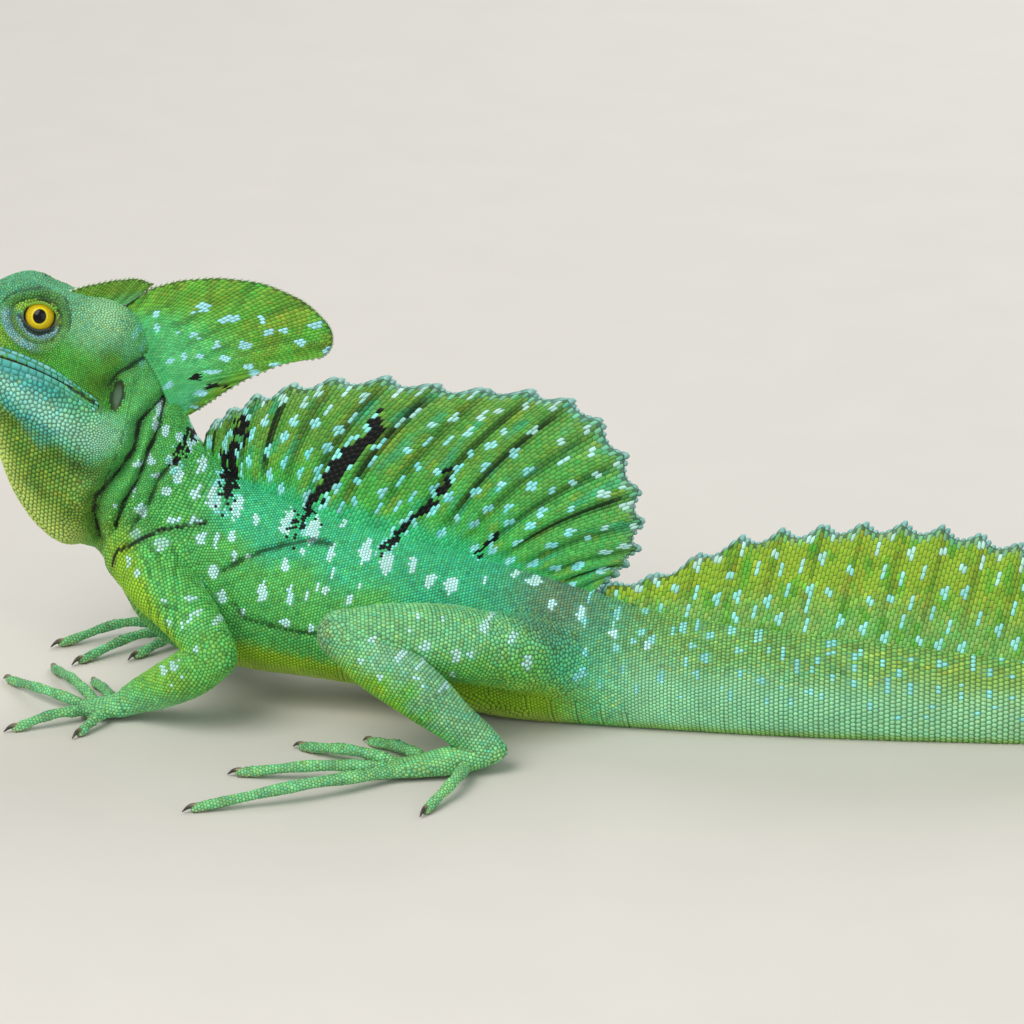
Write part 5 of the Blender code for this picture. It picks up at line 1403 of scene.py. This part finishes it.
def fin_scales(sheet, columns, row, low, high, span):
    """Long scales in columns on both sides of a fin: their outlines, their places on it and on the unwrap."""
    found = []
    us = (np.arange(columns) + 0.5) / columns
    lengths = np.linalg.norm(sheet_side(sheet, us, 0 * us + 1, 1) - sheet_side(sheet, us, 0 * us, 1), axis=1)
    for i, (u, length) in enumerate(zip(us, np.maximum(lengths, 1))):
        tall = 1 - high / length - low / length
        if tall < 0.08:
            continue
        count = max(1, int(round(tall * lengths[i] / row)))
        step = tall / count
        for v in low / length + step * ((0.5 if i % 2 else 0.02) + np.arange(count)):
            found += [(u, v, -1, step), (u, v, 1, step)]
    u, v, way, step = np.array(found).T
    outline = np.stack([
        sheet_side(sheet, np.clip(u + across / columns, 0, 1), np.clip(v + along * step, 0, 1), way)
        for across, along in FIN_SCALE], 1)
    upward = outline[:, 2] - outline[:, 0]
    normals = unit(np.cross(outline[:, 1] - outline[:, 4], upward))
    normals *= np.sign(dots(normals, sheet(u, v)[2] * way[:, None]))[:, None]
    unwrap = np.column_stack([
        span[0] + (span[2] - span[0]) * u, span[1] + (span[3] - span[1]) * (0.5 * v + 0.5 * (way > 0)) * 0.98])
    return {"outlines": outline - normals[:, None] * 0.05, "roots": sheet_side(sheet, u, v, way), "normals": normals,
            "along": unit(upward), "u": u, "v": v, "way": way, "unwrap": unwrap}


SHADE, PUPIL_BLACK, SOCKET_BROWN, CLAW_ROOT = "#000000", "#050505", "#26231a", "#8a8564"

# Outline of a pointed scale of the fringe, as shares of its length and width, then how pale and how bare of
# shade each of its points is; the last two are the middles of its sides.
LEAF = ((-0.60, -0.34), (-0.25, -0.46), (0.20, -0.42), (0.52, -0.26), (0.64, 0.12), (0.40, 0.40), (-0.15, 0.46),
        (-0.60, 0.34))
LEAF_PALE = (0.2, 0.2, 0.5, 1, 1, 0.7, 0.3, 0.2, 0.5, 0.5)
LEAF_CROWN = (0, 0, 0.3, 0.8, 1, 0.6, 0.1, 0, 0.8, 0.8)
LEAF_HALF_THICKNESS = 0.42


def fringe(name, sheet, u, lengths, widths, lean, colours, material):
    """Pointed scales that stand along the free edge of a fin and lie back over one another, as one piece."""
    lengths, widths = lengths[:, None], widths[:, None]
    top, base = (sheet_side(sheet, u, 0 * u + v, 0) for v in (1, 0.93))
    right, rise = sheet(u, 0 * u + 1)[2] + 0 * top, unit(top - base)
    along = np.cross(right, rise)
    ahead = unit(rise + along * np.where(along[:, :1] < 0, -1, 1) * lean)
    side, root = np.cross(right, ahead), top - rise * lengths * 0.22
    ring = [root + ahead * lengths * t + side * widths * s for t, s in LEAF]
    middle = root - ahead * lengths * 0.05
    half = right * LEAF_HALF_THICKNESS
    points = np.stack([*ring, middle - half, middle + half], 1).reshape(-1, 3)
    pattern = [face for k in range(8) for face in ((k, (k + 1) % 8, 8), ((k + 1) % 8, k, 9))]
    obj = closed_object(name, points, [[10 * n + i for i in face] for n in range(len(u)) for face in pattern])
    tint = blend(colours[0], colours[1], np.clip(0.5 + 0.5 * mottle(points, 3.0, 51), 0, 1))
    paint(obj, blend(tint, colours[2], np.tile(LEAF_PALE, len(u)) * 0.8))
    layer = obj.data.attributes.new("crown", "FLOAT", "POINT")
    layer.data.foreach_set("value", np.tile(LEAF_CROWN, len(u)).astype(float))
    obj.data.materials.append(material)
    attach(obj, "root")


def paint(obj, tints):
    """Gives each point of a mesh its colour."""
    layer = obj.data.attributes.new("tint", "FLOAT_COLOR", "POINT")
    layer.data.foreach_set("color", np.column_stack([tints, np.ones(len(tints))]).ravel())


def start_material(name, ior, **inputs):
    """A material with the plain values of its shader, and where a point lies on its own piece."""
    made = bpy.data.materials.new(name)
    made.use_nodes = True
    shader = made.node_tree.nodes["Principled BSDF"].inputs
    for socket, value in (("IOR", ior), *inputs.items()):
        shader[socket.replace("_", " ")].default_value = value
    return made, made.node_tree, shader, add(made.node_tree, "ShaderNodeTexCoord").outputs["Object"]


def noise(tree, where, scale, detail):
    """Soft noise over the piece, from 0 to 1."""
    return add(tree, "ShaderNodeTexNoise", {"Vector": where, "Scale": scale, "Detail": detail}).outputs["Fac"]


def spread(tree, value, low, high, **more):
    """A value from 0 to 1 spread between two others."""
    inputs = {"Value": value, "To Min": low, "To Max": high, **{key.replace("_", " "): v for key, v in more.items()}}
    return add(tree, "ShaderNodeMapRange", inputs).outputs["Result"]


def colour_by(tree, shader, value, colour=None):
    """The shader's colour: the mesh's own tint, or one plain colour, lightened and darkened by a value."""
    tint = add(tree, "ShaderNodeAttribute", attribute_name="tint").outputs["Color"] if colour is None else colour
    made = add(tree, "ShaderNodeVectorMath", {0: tint, "Scale": value}, operation="SCALE").outputs[0]
    tree.links.new(made, shader["Base Color"])


def coat_material(name, roughness, deep, relief):
    """Keratin scales: each a little glossy on its crown, with painted shade that darkens it where it sinks into the
    skin and a faint painted highlight on its crown.

    Keratin has an index of refraction of 1.55. The fine grain stands for the growth lines of a scale, drawn
    at 0.12 mm, coarser than the real ones, which would be lost at this distance.
    """
    made, tree, shader, where = start_material(name, 1.55, Specular_IOR_Level=0.2)
    crown = add(tree, "ShaderNodeAttribute", attribute_name="crown").outputs["Fac"]
    grain, cloud = noise(tree, where, 3200.0, 2.0), noise(tree, where, 160.0, 3.0)
    dirt = spread(tree, cloud, 0.86, 1.10, From_Min=0.3, From_Max=0.7)
    # Painted shade at the foot of each scale and a faint painted highlight on its crown, times a soft cloud of tone
    # that differs at random.
    value = add(tree, "ShaderNodeMath", {0: spread(tree, crown, deep, 1.08), 1: dirt}, operation="MULTIPLY").outputs[0]
    colour_by(tree, shader, value)
    tree.links.new(spread(tree, grain, roughness - 0.08, roughness + 0.10), shader["Roughness"])
    bump = add(tree, "ShaderNodeBump", {"Height": grain, "Strength": relief, "Distance": 0.00006}).outputs["Normal"]
    tree.links.new(bump, shader["Normal"])
    return made


def skin_material(name):
    """Bare skin between the scales: matt, painted darker than the scales as shade of the gaps between them, with fine
    wrinkles of 0.4 mm.
    """
    made, tree, shader, where = start_material(name, 1.45, Roughness=0.6)
    grain = noise(tree, where, 2200.0, 3.0)
    colour_by(tree, shader, spread(tree, grain, 0.82, 1.18))
    bump = add(tree, "ShaderNodeBump", {"Height": grain, "Strength": 0.5, "Distance": 0.0001}).outputs["Normal"]
    tree.links.new(bump, shader["Normal"])
    return made


def eye_material():
    """The eye: a wet cornea, index 1.376 like water over it, under which the iris shows golden with fine flecks."""
    made, tree, shader, where = start_material(
        "wet_cornea_over_golden_iris", 1.376, Roughness=0.45, Specular_IOR_Level=0.1, Coat_Weight=0.6,
        Coat_Roughness=0.02, Coat_IOR=1.376)
    colour_by(tree, shader, spread(tree, noise(tree, where, 2600.0, 3.0), 0.75, 1.25))
    return made


def claw_material():
    """Claw horn, index 1.55: smooth and dark brown, paler at the root."""
    made, tree, shader, where = start_material("claw_horn", 1.55, Roughness=0.34)
    colour_by(tree, shader, spread(tree, noise(tree, where, 1800.0, 2.0), 0.8, 1.2))
    return made


def painted_floor():
    """Matt paint on a plain board: hardly any gloss, with the faint unevenness of a rolled coat, patches of 30 mm."""
    made, tree, shader, where = start_material("matt_painted_board", 1.5, Roughness=0.8)
    colour_by(tree, shader, spread(tree, noise(tree, where, 33.0, 3.0), 0.97, 1.03), linear("#cfccc6")[:3])
    return made


def make_eye(way, material):
    """One eyeball with its pupil and iris, looking out and a little up."""
    outward, ahead, rise = eye_axes(way)
    angles = np.concatenate([np.linspace(0.02, 1.15, 56), np.linspace(1.2, 3.1, 22)])
    turn = np.linspace(0, TURN, 72, endpoint=False)
    bulge = EYE_RADIUS + 0.16 * hill((angles, 0, 0.55))
    grid = eye_centre(way) + outward * (bulge * np.cos(angles))[:, None, None] + (
        ahead * np.cos(turn)[:, None] + rise * np.sin(turn)[:, None]) * (bulge * np.sin(angles))[:, None, None]
    obj = closed_object("eyeball_" + ("left" if way < 0 else "right"), *loft(grid))
    reach = np.repeat(EYE_RADIUS * np.sin(angles), len(turn))
    turn = np.tile(turn, len(angles))
    up, iris = reach * np.sin(turn), reach / 3.62
    pupil = np.hypot(reach * np.cos(turn) / 1.66, up / 1.84)
    spoke = np.sin(turn * 23 + 2 * np.sin(turn * 5)) * 0.5 + np.sin(turn * 41 + 1) * 0.3
    tint = layered(
        "#c8b208",
        ("#9f8408", smooth_step(0.78, 0.99, iris) * 0.8),
        # Painted shadow of the upper lid: the iris darkens towards its top.
        ("#97800a", smooth_step(0.3, 3.2, up) * smooth_step(0.5, 1.0, iris) * 0.85),
        ("#e0d420", hill((pupil, 1.18, 0.12)) * 0.8),
        ("#a0740c", 0.35 * np.clip(spoke, 0, 1) * smooth_step(1.1, 1.5, pupil)),
        ("#231a08", smooth_step(0.97, 1.04, iris)),
        (PUPIL_BLACK, smooth_step(1.06, 0.97, pupil)),
        # Painted shade: dark brown where the eyeball sinks under the lids.
        (SOCKET_BROWN, smooth_step(1.25, 1.45, iris)),
    )
    paint(obj, np.vstack([tint, hue(PUPIL_BLACK), hue(SOCKET_BROWN)]))
    obj.data.materials.append(material)
    return obj


def make_claws(material):
    """All the claws as one piece: curved, pointed, and standing out of the tips of the toes."""
    points, faces, tints = [], [], []
    up = np.array([0, 0, 1.0])
    for number, keys in LIMBS:
        if number % 10 % 4 != TOE:
            continue
        ahead = unit((keys[2][:3] - keys[1][:3]) * (1, 1, 0))
        root = keys[2][:3] - ahead * 0.8 + up * 0.35
        claw = [(*root, 0.78), (*(root + ahead * 1.4 + up * 0.35), 0.72), (*(root + ahead * 2.7 + up * 0.05), 0.5),
                (*(root + ahead * (CLAW_LENGTH + 0.75) - up * 1.0), 0.14)]
        grid = tube_grid(np.array(claw), 9, 10)
        grid[..., 2] = np.maximum(grid[..., 2], 0.02)
        more, ring = loft(grid)
        more[-1] += ahead * 0.1 - up * 0.05
        faces += [[len(points) + i for i in face] for face in ring]
        points += list(more)
        along = np.repeat(np.linspace(0, 1, 9), 10)
        tints += [*blend(CLAW_ROOT, "#2a241c", smooth_step(0.15, 0.6, along)), hue(CLAW_ROOT), hue("#1d1813")]
    obj = closed_object("claws", np.array(points), faces)
    paint(obj, np.array(tints))
    obj.data.materials.append(material)
    return obj


def ring_beads(surface, way):
    """Rows of fine beads on the rims of the lids, round the eye: their outlines, middles, normals and sizes."""
    outward, ahead, rise = eye_axes(way)
    found, sizes = [], []
    for row, (grow, size) in enumerate(((0.40, 0.72), (1.10, 0.66))):
        fine = np.linspace(0, TURN, 400)
        reach = lid_opening(fine) + grow
        run = run_length(np.column_stack([np.cos(fine) * reach, np.sin(fine) * reach]))
        count = int(run[-1] / size)
        turn = np.interp((np.arange(count) + 0.5 * row) * run[-1] / count, run, fine)
        reach = lid_opening(turn) + grow
        depth = np.sqrt(np.maximum(5.2**2 - reach**2, 0.5))
        found.append(eye_centre(way) + outward * depth[:, None]
                     + reach[:, None] * (ahead * np.cos(turn)[:, None] + rise * np.sin(turn)[:, None]))
        sizes += [size] * count
    spots, normals, _ = snap(surface, np.vstack(found))
    sizes = np.array(sizes)
    first = np.cross(normals, outward)
    first[np.linalg.norm(first, axis=1) < 0.1] = ahead
    first = unit(first)
    turn = np.arange(7) * TURN / 7
    ring = first[:, None] * np.cos(turn)[:, None] + np.cross(normals, first)[:, None] * np.sin(turn)[:, None]
    return spots[:, None] + ring * (sizes * 0.47)[:, None, None], spots, normals, sizes


def scale_tints(scales):
    """The colour of each scale of the skin."""
    points, part = scales["points"], scales["part"]
    tints = np.zeros((len(points), 3))
    front, trunk, limb = part <= 1, (part == 2) | (part == 3), part >= 10
    share = smooth_step(PLACE[0] - 5, PLACE[1] + 2, head_place(points[front]))
    tints[front] = blend(head_marks(points[front]), body_marks(points[front]), share)
    tints[trunk] = body_marks(points[trunk])
    out, row = abs(points[limb, 1]), part[limb] % 10
    root = smooth_step(20, 13, out) * (row == UPPER) + smooth_step(26, 17, out) * (row == 4 + UPPER)
    tints[limb] = blend(limb_marks(points[limb], part[limb]), body_marks(points[limb]), root)
    return uneven(tints, np.random.default_rng(3), 0.13, 1.45, 0.14, 0.10)


def make_coat(surface):
    """Lays the coat of scales over the skin and returns the points and colours of the scales."""
    scales = place_scales(surface)
    points, normals, size, part, unwrap = (scales[key] for key in ("points", "normals", "size", "part", "unwrap"))
    offsets = np.linspace(0, math.pi / 3, 5, endpoint=False)
    flat, first, second = cells(points, normals, scales["along"], size, 6, offsets)
    flat = flat * 0.95
    outlines = points[:, None] + first[:, None] * flat[..., :1] + second[:, None] * flat[..., 1:]
    outlines = outlines - normals[:, None] * 0.06
    draw = np.random.default_rng(5)
    rise = np.clip(1 + 0.12 * draw.normal(size=len(size)), 0.6, 1.4)
    rise *= np.where((part % 10 % 4 == TOE) & (part > 9), 0.55, 1.0)
    tints, left = scale_tints(scales), points[:, 1] < 0
    horn = coat_material("scale_keratin", 0.42, 0.36, 0.25)
    groups = [("head", part == 0, "head_skin", 0.66, 0.32), ("throat_neck", part == 1, "body_skin", 0.68, 0.28),
              ("torso_left", (part == 2) & left, "body_skin", 0.75, 0.22),
              ("torso_right", (part == 2) & ~left, "body_skin", 0.75, 0.22),
              ("tail", part == 3, "body_skin", 0.76, 0.22)]
    groups += [(word, (part >= low) & (part < low + 4), "limb_skin", 0.74, 0.22) for low, word in (
        (10, "left_arm"), (14, "left_leg"), (20, "right_arm"), (24, "right_leg"))]
    for name, own, slot, share, height in groups:
        own = np.flatnonzero(own)
        own = own[np.argsort(points[own, 0], kind="stable")]
        lean = first[own] * (size[own] * 0.12 * (part[own] >= 2))[:, None]
        piece = raise_scales("coat_" + name, (outlines[own], points[own], normals[own], unwrap[own]), tints[own],
                             size[own] * rise[own], lean, horn, height, share)
        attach(piece, "root")
    outlines, normal = lip_plates(surface)
    roots = outlines.mean(1)
    d, _, u = of_head(roots).T
    tint = layered(
        "#4fa6a2",
        ("#4fa67c", smooth_step(28, 48, d)),
        ("#9a8f74", smooth_step(-0.3, 0.3, u - mouth_height(d)) * smooth_step(24, 16, d) * 0.8),
        ("#7cc0bd", smooth_step(0.0, 1.2, draw.normal(size=len(roots))) * 0.7),
    )
    tint *= np.clip(1 + 0.10 * draw.normal(size=len(roots)), 0.7, 1.3)[:, None]
    small = [("lip_plates", outlines - normal[:, None] * 0.05, roots, normal, tint, 1.0, 0.34, 0.84)]
    for way, word in ((-1, "left"), (1, "right")):
        beads, spots, normal, sizes = ring_beads(surface, way)
        beads = beads - normal[:, None] * 0.04
        small.append(("lid_beads_" + word, beads, spots, normal, head_marks(spots), sizes, 0.42, 0.6))
    for name, outlines, roots, normal, tint, rise, height, share in small:
        shape = (outlines, roots, normal, body_unwrap(roots, head_place(roots)))
        piece = raise_scales(name, shape, tint, rise, np.zeros(3), horn, height, share)
        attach(piece, "root")
    return points, tints


def paint_skin(skin, surface, scale_points, scale_colours):
    """The skin takes the colour of the nearest scale, darkened as painted shade of the gaps between the scales, with
    bare places of its own.
    """
    points = surface["points"]
    index, gap = nearest(point_tree(scale_points), points)
    d, _, u = of_head(points).T
    head = d < 64
    along, high = (d - EAR_BACK) / EAR_HALF_LENGTH, (u - EAR_UP) / EAR_HALF_HEIGHT
    ear = np.hypot(along, high)
    # The ear's cup: grey-green, with painted shade towards its rim, its top and its rear.
    disc = layered("#5d7f62", ("#3c5230", smooth_step(0.45, 0.9, ear)), ("#31461f", smooth_step(0.1, 0.8, high) * 0.8),
                   ("#2c3a24", smooth_step(0.2, 0.9, along) * smooth_step(0.35, 0.8, ear)))
    in_eye = np.min([np.linalg.norm(points - eye_centre(way), axis=1) for way in (-1, 1)], 0) < EYE_RADIUS + 0.16
    in_nostril = (np.hypot(d - NOSTRIL_BACK, u - NOSTRIL_UP) < NOSTRIL_RADIUS * 1.02) & (d < 9)
    # Painted shade: the skin in the gaps between the scales is much darker than they are, and the linings of the eye
    # sockets, the nostrils and the gap of the mouth are near black.
    paint(skin, layered(
        scale_colours[index] * 0.42,
        (head_marks(points) * 0.9, smooth_step(0.7, 1.3, gap) * head),
        (disc, (ear < 1.0) & head),
        ("#15150f", in_eye),
        ("#1a2018", in_nostril),
        ("#26332c", (abs(u - mouth_height(d)) < 0.2) & (d < MOUTH_CORNER + 0.5)),
    ))


def fin_spots(fin, amount, draw):
    """Which scales of a fin lie in its pale spots: long ones of one column, or short ones of two, set apart."""
    points, lift, v = fin["roots"], fin["along"], fin["v"]
    kept = []
    for point in points[draw.permutation(np.flatnonzero((fin["way"] < 0) & (v > 0.08) & (v < 0.96)))]:
        if len(kept) == amount:
            break
        if all(math.hypot(point[0] - other[0], point[2] - other[2]) > 4.9 for other in kept):
            kept.append(point)
    inside = np.zeros(len(points), bool)
    for point in kept:
        away = (points - point) * (1, 0, 1)
        ahead, beside = (1.0, 0.0) if (point[0] * 7.3) % 1.0 > 0.45 else (0.0, 0.45)
        across = away[:, 0] * lift[:, 2] - away[:, 2] * lift[:, 0] - beside
        inside |= np.hypot(across / 0.95, (dots(away, lift) - ahead) / 1.5) < 1
    return inside


def fin_tints(fin, kind):
    """Colours of the scales of a fin: green and olive, darkened along its pleats as painted shade, pale spots and black
    bars.
    """
    points, u, v = fin["roots"], fin["u"], fin["v"]
    draw = np.random.default_rng(11)
    if kind == "sail":
        streak = np.clip(0.5 + 0.9 * np.sin(u * 197 + 2.5 * np.sin(v * 5 + u * 31)), 0, 1)
        fold = smooth_step(0.55, 0.98, np.sin(TURN * u * SAIL_RAY_COUNT + 0.7 * np.sin(9 * u) + 0.9))
        tint = layered(
            "#4aae48",
            ("#5e9a3c", smooth_step(0.2, 0.55, v)),
            ("#48b054", smooth_step(0.4, 0.85, u) * 0.8),
            ("#70a44c", smooth_step(0.75, 1.0, v) * 0.5),
            ("#3bab76", streak * smooth_step(0.0, 0.8, mottle(points, 11.0, 43)) * 0.7),
            ("#79a336", (1 - streak) * smooth_step(0.0, 0.9, mottle(points, 9.0, 44)) * 0.6),
            # Painted shade in the valleys of the pleats.
            (SHADE, (0.62 + 0.3 * np.sin(u * 37.0)) * fold * smooth_step(0.08, 0.35, v) * smooth_step(1.0, 0.85, v)),
            ("#7cc7ae", smooth_step(0.955, 0.99, v)),
            ("#38bf80", smooth_step(0.17, 0.07, v + 0.02 * mottle(points, 5.0, 46)) * 0.9),
        )
        spots, pale = 112, "#88dede"
    elif kind == "tail":
        streak = np.clip(0.5 + 0.9 * np.sin(u * 263 + 2.5 * np.sin(v * 4 + u * 37)), 0, 1)
        fold = smooth_step(0.85, 1.0, np.sin(TURN * u * TAIL_CREST_RAYS + 0.6 * np.sin(11 * u) + 0.9))
        tint = layered(
            "#78b45a",
            ("#8db432", smooth_step(0.15, 0.6, v)),
            ("#74ae42", smooth_step(0.3, 0.9, u)),
            ("#5aa832", streak * smooth_step(0.0, 0.6, mottle(points, 12.0, 45)) * 0.8),
            # Painted shade in the valleys of the pleats.
            (SHADE, 0.28 * fold * smooth_step(0.1, 0.4, v)),
            ("#74bda8", smooth_step(0.94, 0.985, v)),
        )
        spots, pale = 110, "#93e3d8"
    else:
        fold = smooth_step(0.5, 1.0, np.sin(u * 61 + 3 * np.sin(5 * v + 9 * u)))
        tint = layered(
            "#5cc87a",
            ("#66b42e", smooth_step(0.15, 0.6, v) * 0.85),
            ("#7d9a28", np.clip(0.5 + 0.5 * mottle(points, 9.0, 41), 0, 1) * smooth_step(0.3, 0.8, v) * 0.7),
            ("#60cc94", smooth_step(0.6, 0.9, u) * smooth_step(0.7, 0.3, v) * 0.8),
            (SHADE, 0.30 * fold * smooth_step(0.1, 0.4, v)),
        )
        return uneven(tint, draw, 0.10, 1.4, 0.16)
    tint = blend(tint, blend(pale, "#c8e8d4", smooth_step(0.5, 0.95, v) * 0.6), fin_spots(fin, spots, draw))
    return uneven(black_bars(tint, points) if kind == "sail" else tint, draw, 0.10, 1.4, 0.16)


def make_fins(horn, membrane):
    """The sail, the crest of the tail and both crests of the head, each with its scales and its fringe."""
    rear, front = head_crest_sheet(REAR_CREST, 13, 5.5), head_crest_sheet(FRONT_CREST, 6, 1.0)
    # Each fin's columns and rows, then columns, length, and bare strips of its scales, height and share of their
    # tops, and its part of the unwrap.
    for name, sheet, kind, nodes, grid, layout, height, share, span in (
        ("sail", sail_sheet, "sail", ("sail",), (300, 46), (170, 2.0, 1.2, 0.2), 0.11, 0.88, (0.01, 0.76, 0.49, 0.99)),
        ("tail_crest", tail_crest_sheet, "tail", ("tail_crest_1", "tail_crest_2"), (360, 34), (240, 2.1, 1.0, 0.2),
         0.10, 0.88, (0.51, 0.76, 0.99, 0.99)),
        ("rear_crest", rear, "head", ("crest_rear",), (120, 60), (92, 1.35, 0.2, 0.2), 0.10, 0.86,
         (0.77, 0.50, 0.99, 0.62)),
        ("front_crest", front, "head", ("crest_front",), (60, 24), (34, 1.1, 0.3, 0.2), 0.12, 0.80,
         (0.77, 0.64, 0.99, 0.74)),
    ):
        fin = fin_scales(sheet, *layout, span)
        tints = fin_tints(fin, kind)
        if name == "rear_crest":
            tints = layered(tints, ("#a4e8ee", spotted(fin["roots"], CREST_SPOTS, 0.05)),
                            (BAR_BLACK, spotted(fin["roots"], CREST_PATCHES, 0.6)))
        if name == "front_crest":
            tints = blend(tints, "#5f8a2a", np.full(len(tints), 0.6))
        body = fin_body(name + "_membrane", sheet, *grid)
        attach(body, "root")
        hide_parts(*nodes)
        near, _ = nearest(point_tree(fin["roots"]), mesh_arrays(body)[0])
        # Painted shade: the membrane under the scales of a fin takes their colours, much darker.
        paint(body, tints[near] * 0.36)
        body.data.materials.append(membrane)
        shape = [fin[key] for key in ("outlines", "roots", "normals", "unwrap")]
        piece = raise_scales("coat_" + name, shape, tints, 1.0, fin["along"] * 0.10, horn, height, share)
        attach(piece, "root")
    us = np.linspace(0.02, 0.99, 100)
    big = 0.5 + 0.5 * np.cos(TURN * us * SAIL_RAY_COUNT)
    lengths = (2.6 + 3.0 * big**2 * smooth_step(0.1, 0.3, us)) * (1 - 0.5 * smooth_step(0.5, 0.72, us))
    fringe("sail_fringe", sail_sheet, us, lengths, 1.5 + 1.1 * big, 0.35, ("#4c9c84", "#62b0a4", "#b4e2d8"), horn)
    us = np.linspace(0.0, 0.99, 150)
    big = (0.5 + 0.5 * np.cos(TURN * us * TAIL_CREST_RAYS)) * (1 - 0.6 * us)
    fringe("tail_crest_fringe", tail_crest_sheet, us, 2.0 + 2.2 * big, 1.5 + 0.8 * big, 0.3,
           ("#4a9080", "#5aa39a", "#9ad2c8"), horn)
    draw = np.random.default_rng(13)
    rear_places = np.concatenate([np.linspace(0.05, 0.62, 46), np.linspace(0.64, 0.95, 20)])
    for name, sheet, us, length, wider, lean in (
        ("rear_crest_fringe", rear, rear_places, 0.7, 0.3, 0.5),
        ("front_crest_fringe", front, np.linspace(0.05, 0.95, 22), 0.8, 0.2, 0.6),
    ):
        fringe(name, sheet, us, length + 0.3 * draw.random(len(us)), 1.2 + wider * draw.random(len(us)), lean,
               ("#a9c78c", "#cfdcc0", "#dfe6d4"), horn)


def aim_at(obj, target):
    """Turns an object so that its -Z looks at a point."""
    obj.rotation_euler = (Vector(target) - obj.location).to_track_quat("-Z", "Y").to_euler()


def make_camera():
    """The camera at the angle and the framing of the photograph."""
    turn, rise, distance = math.radians(14.0), math.radians(20.0), 1.5
    photo_pixels, pixel_mm = 1024, 0.26
    aim = (np.array([0.0, 0.0, 55.3]) + SHIFT) * MM
    away = np.array([math.sin(turn) * math.cos(rise), -math.cos(turn) * math.cos(rise), math.sin(rise)])
    camera = new_object("camera", bpy.data.cameras.new("camera"))
    camera.data.sensor_width = 36.0
    camera.data.lens = 36.0 * distance / (photo_pixels * pixel_mm * MM)
    camera.location = aim + away * distance
    aim_at(camera, aim)
    camera.data.clip_start, camera.data.clip_end = 0.05, 50.0
    bpy.context.scene.camera = camera


def make_light(name, place, size, power, colour):
    """A square soft light that looks at the animal."""
    light = bpy.data.lights.new(name, "AREA")
    light.shape, light.size, light.energy = "SQUARE", size, power
    light.color = linear(colour)[:3]
    obj = new_object(name, light)
    obj.location = place
    aim_at(obj, (-0.17, 0.0, 0.05))


def make_stage():
    """A plain pale floor, soft lights and a pale room."""
    floor = mesh_object("floor", np.array([[-1, -1, 0], [1, -1, 0], [1, 1, 0], [-1, 1, 0]]) * 6000.0, [(0, 1, 2, 3)])
    floor.data.materials.append(painted_floor())
    make_light("key", (-0.75, -0.95, 1.35), 1.1, 22.0, "#fffaf2")
    make_light("fill", (0.95, -1.1, 0.7), 1.3, 7.0, "#f2f7ff")
    make_light("back", (0.1, 1.2, 1.0), 1.0, 10.0, "#ffffff")
    world = bpy.data.worlds.new("room")
    world.use_nodes = True
    background = world.node_tree.nodes["Background"]
    background.inputs["Color"].default_value = linear("#e9eaec")
    background.inputs["Strength"].default_value = 0.55
    bpy.context.scene.world = world


skin = make_skin()
surface = surface_of(skin)
paint_skin(skin, surface, *make_coat(surface))
skin.data.materials.clear()
skin.data.materials.append(skin_material("skin_between_scales"))
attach(skin, "root")
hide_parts("head", "neck", "torso", "tail_1", "tail_2", "tail_3", "tail_4", *[
    side + part for side in ("left_", "right_") for part in ("upper_arm", "forearm", "hand", "thigh", "shank", "foot")])
make_fins(coat_material("crest_scale_keratin", 0.5, 0.5, 0.2), skin_material("crest_membrane"))
eye_surface = eye_material()
for way, node in ((-1, "eye_left"), (1, "eye_right")):
    eye = make_eye(way, eye_surface)
    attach(eye, "root")
    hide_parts(node)
claws = make_claws(claw_material())
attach(claws, "root")
make_camera()
make_stage()
# Plain sRGB, since the greens of the photograph are as strong as a screen can show.
bpy.context.scene.view_settings.view_transform = "Standard"
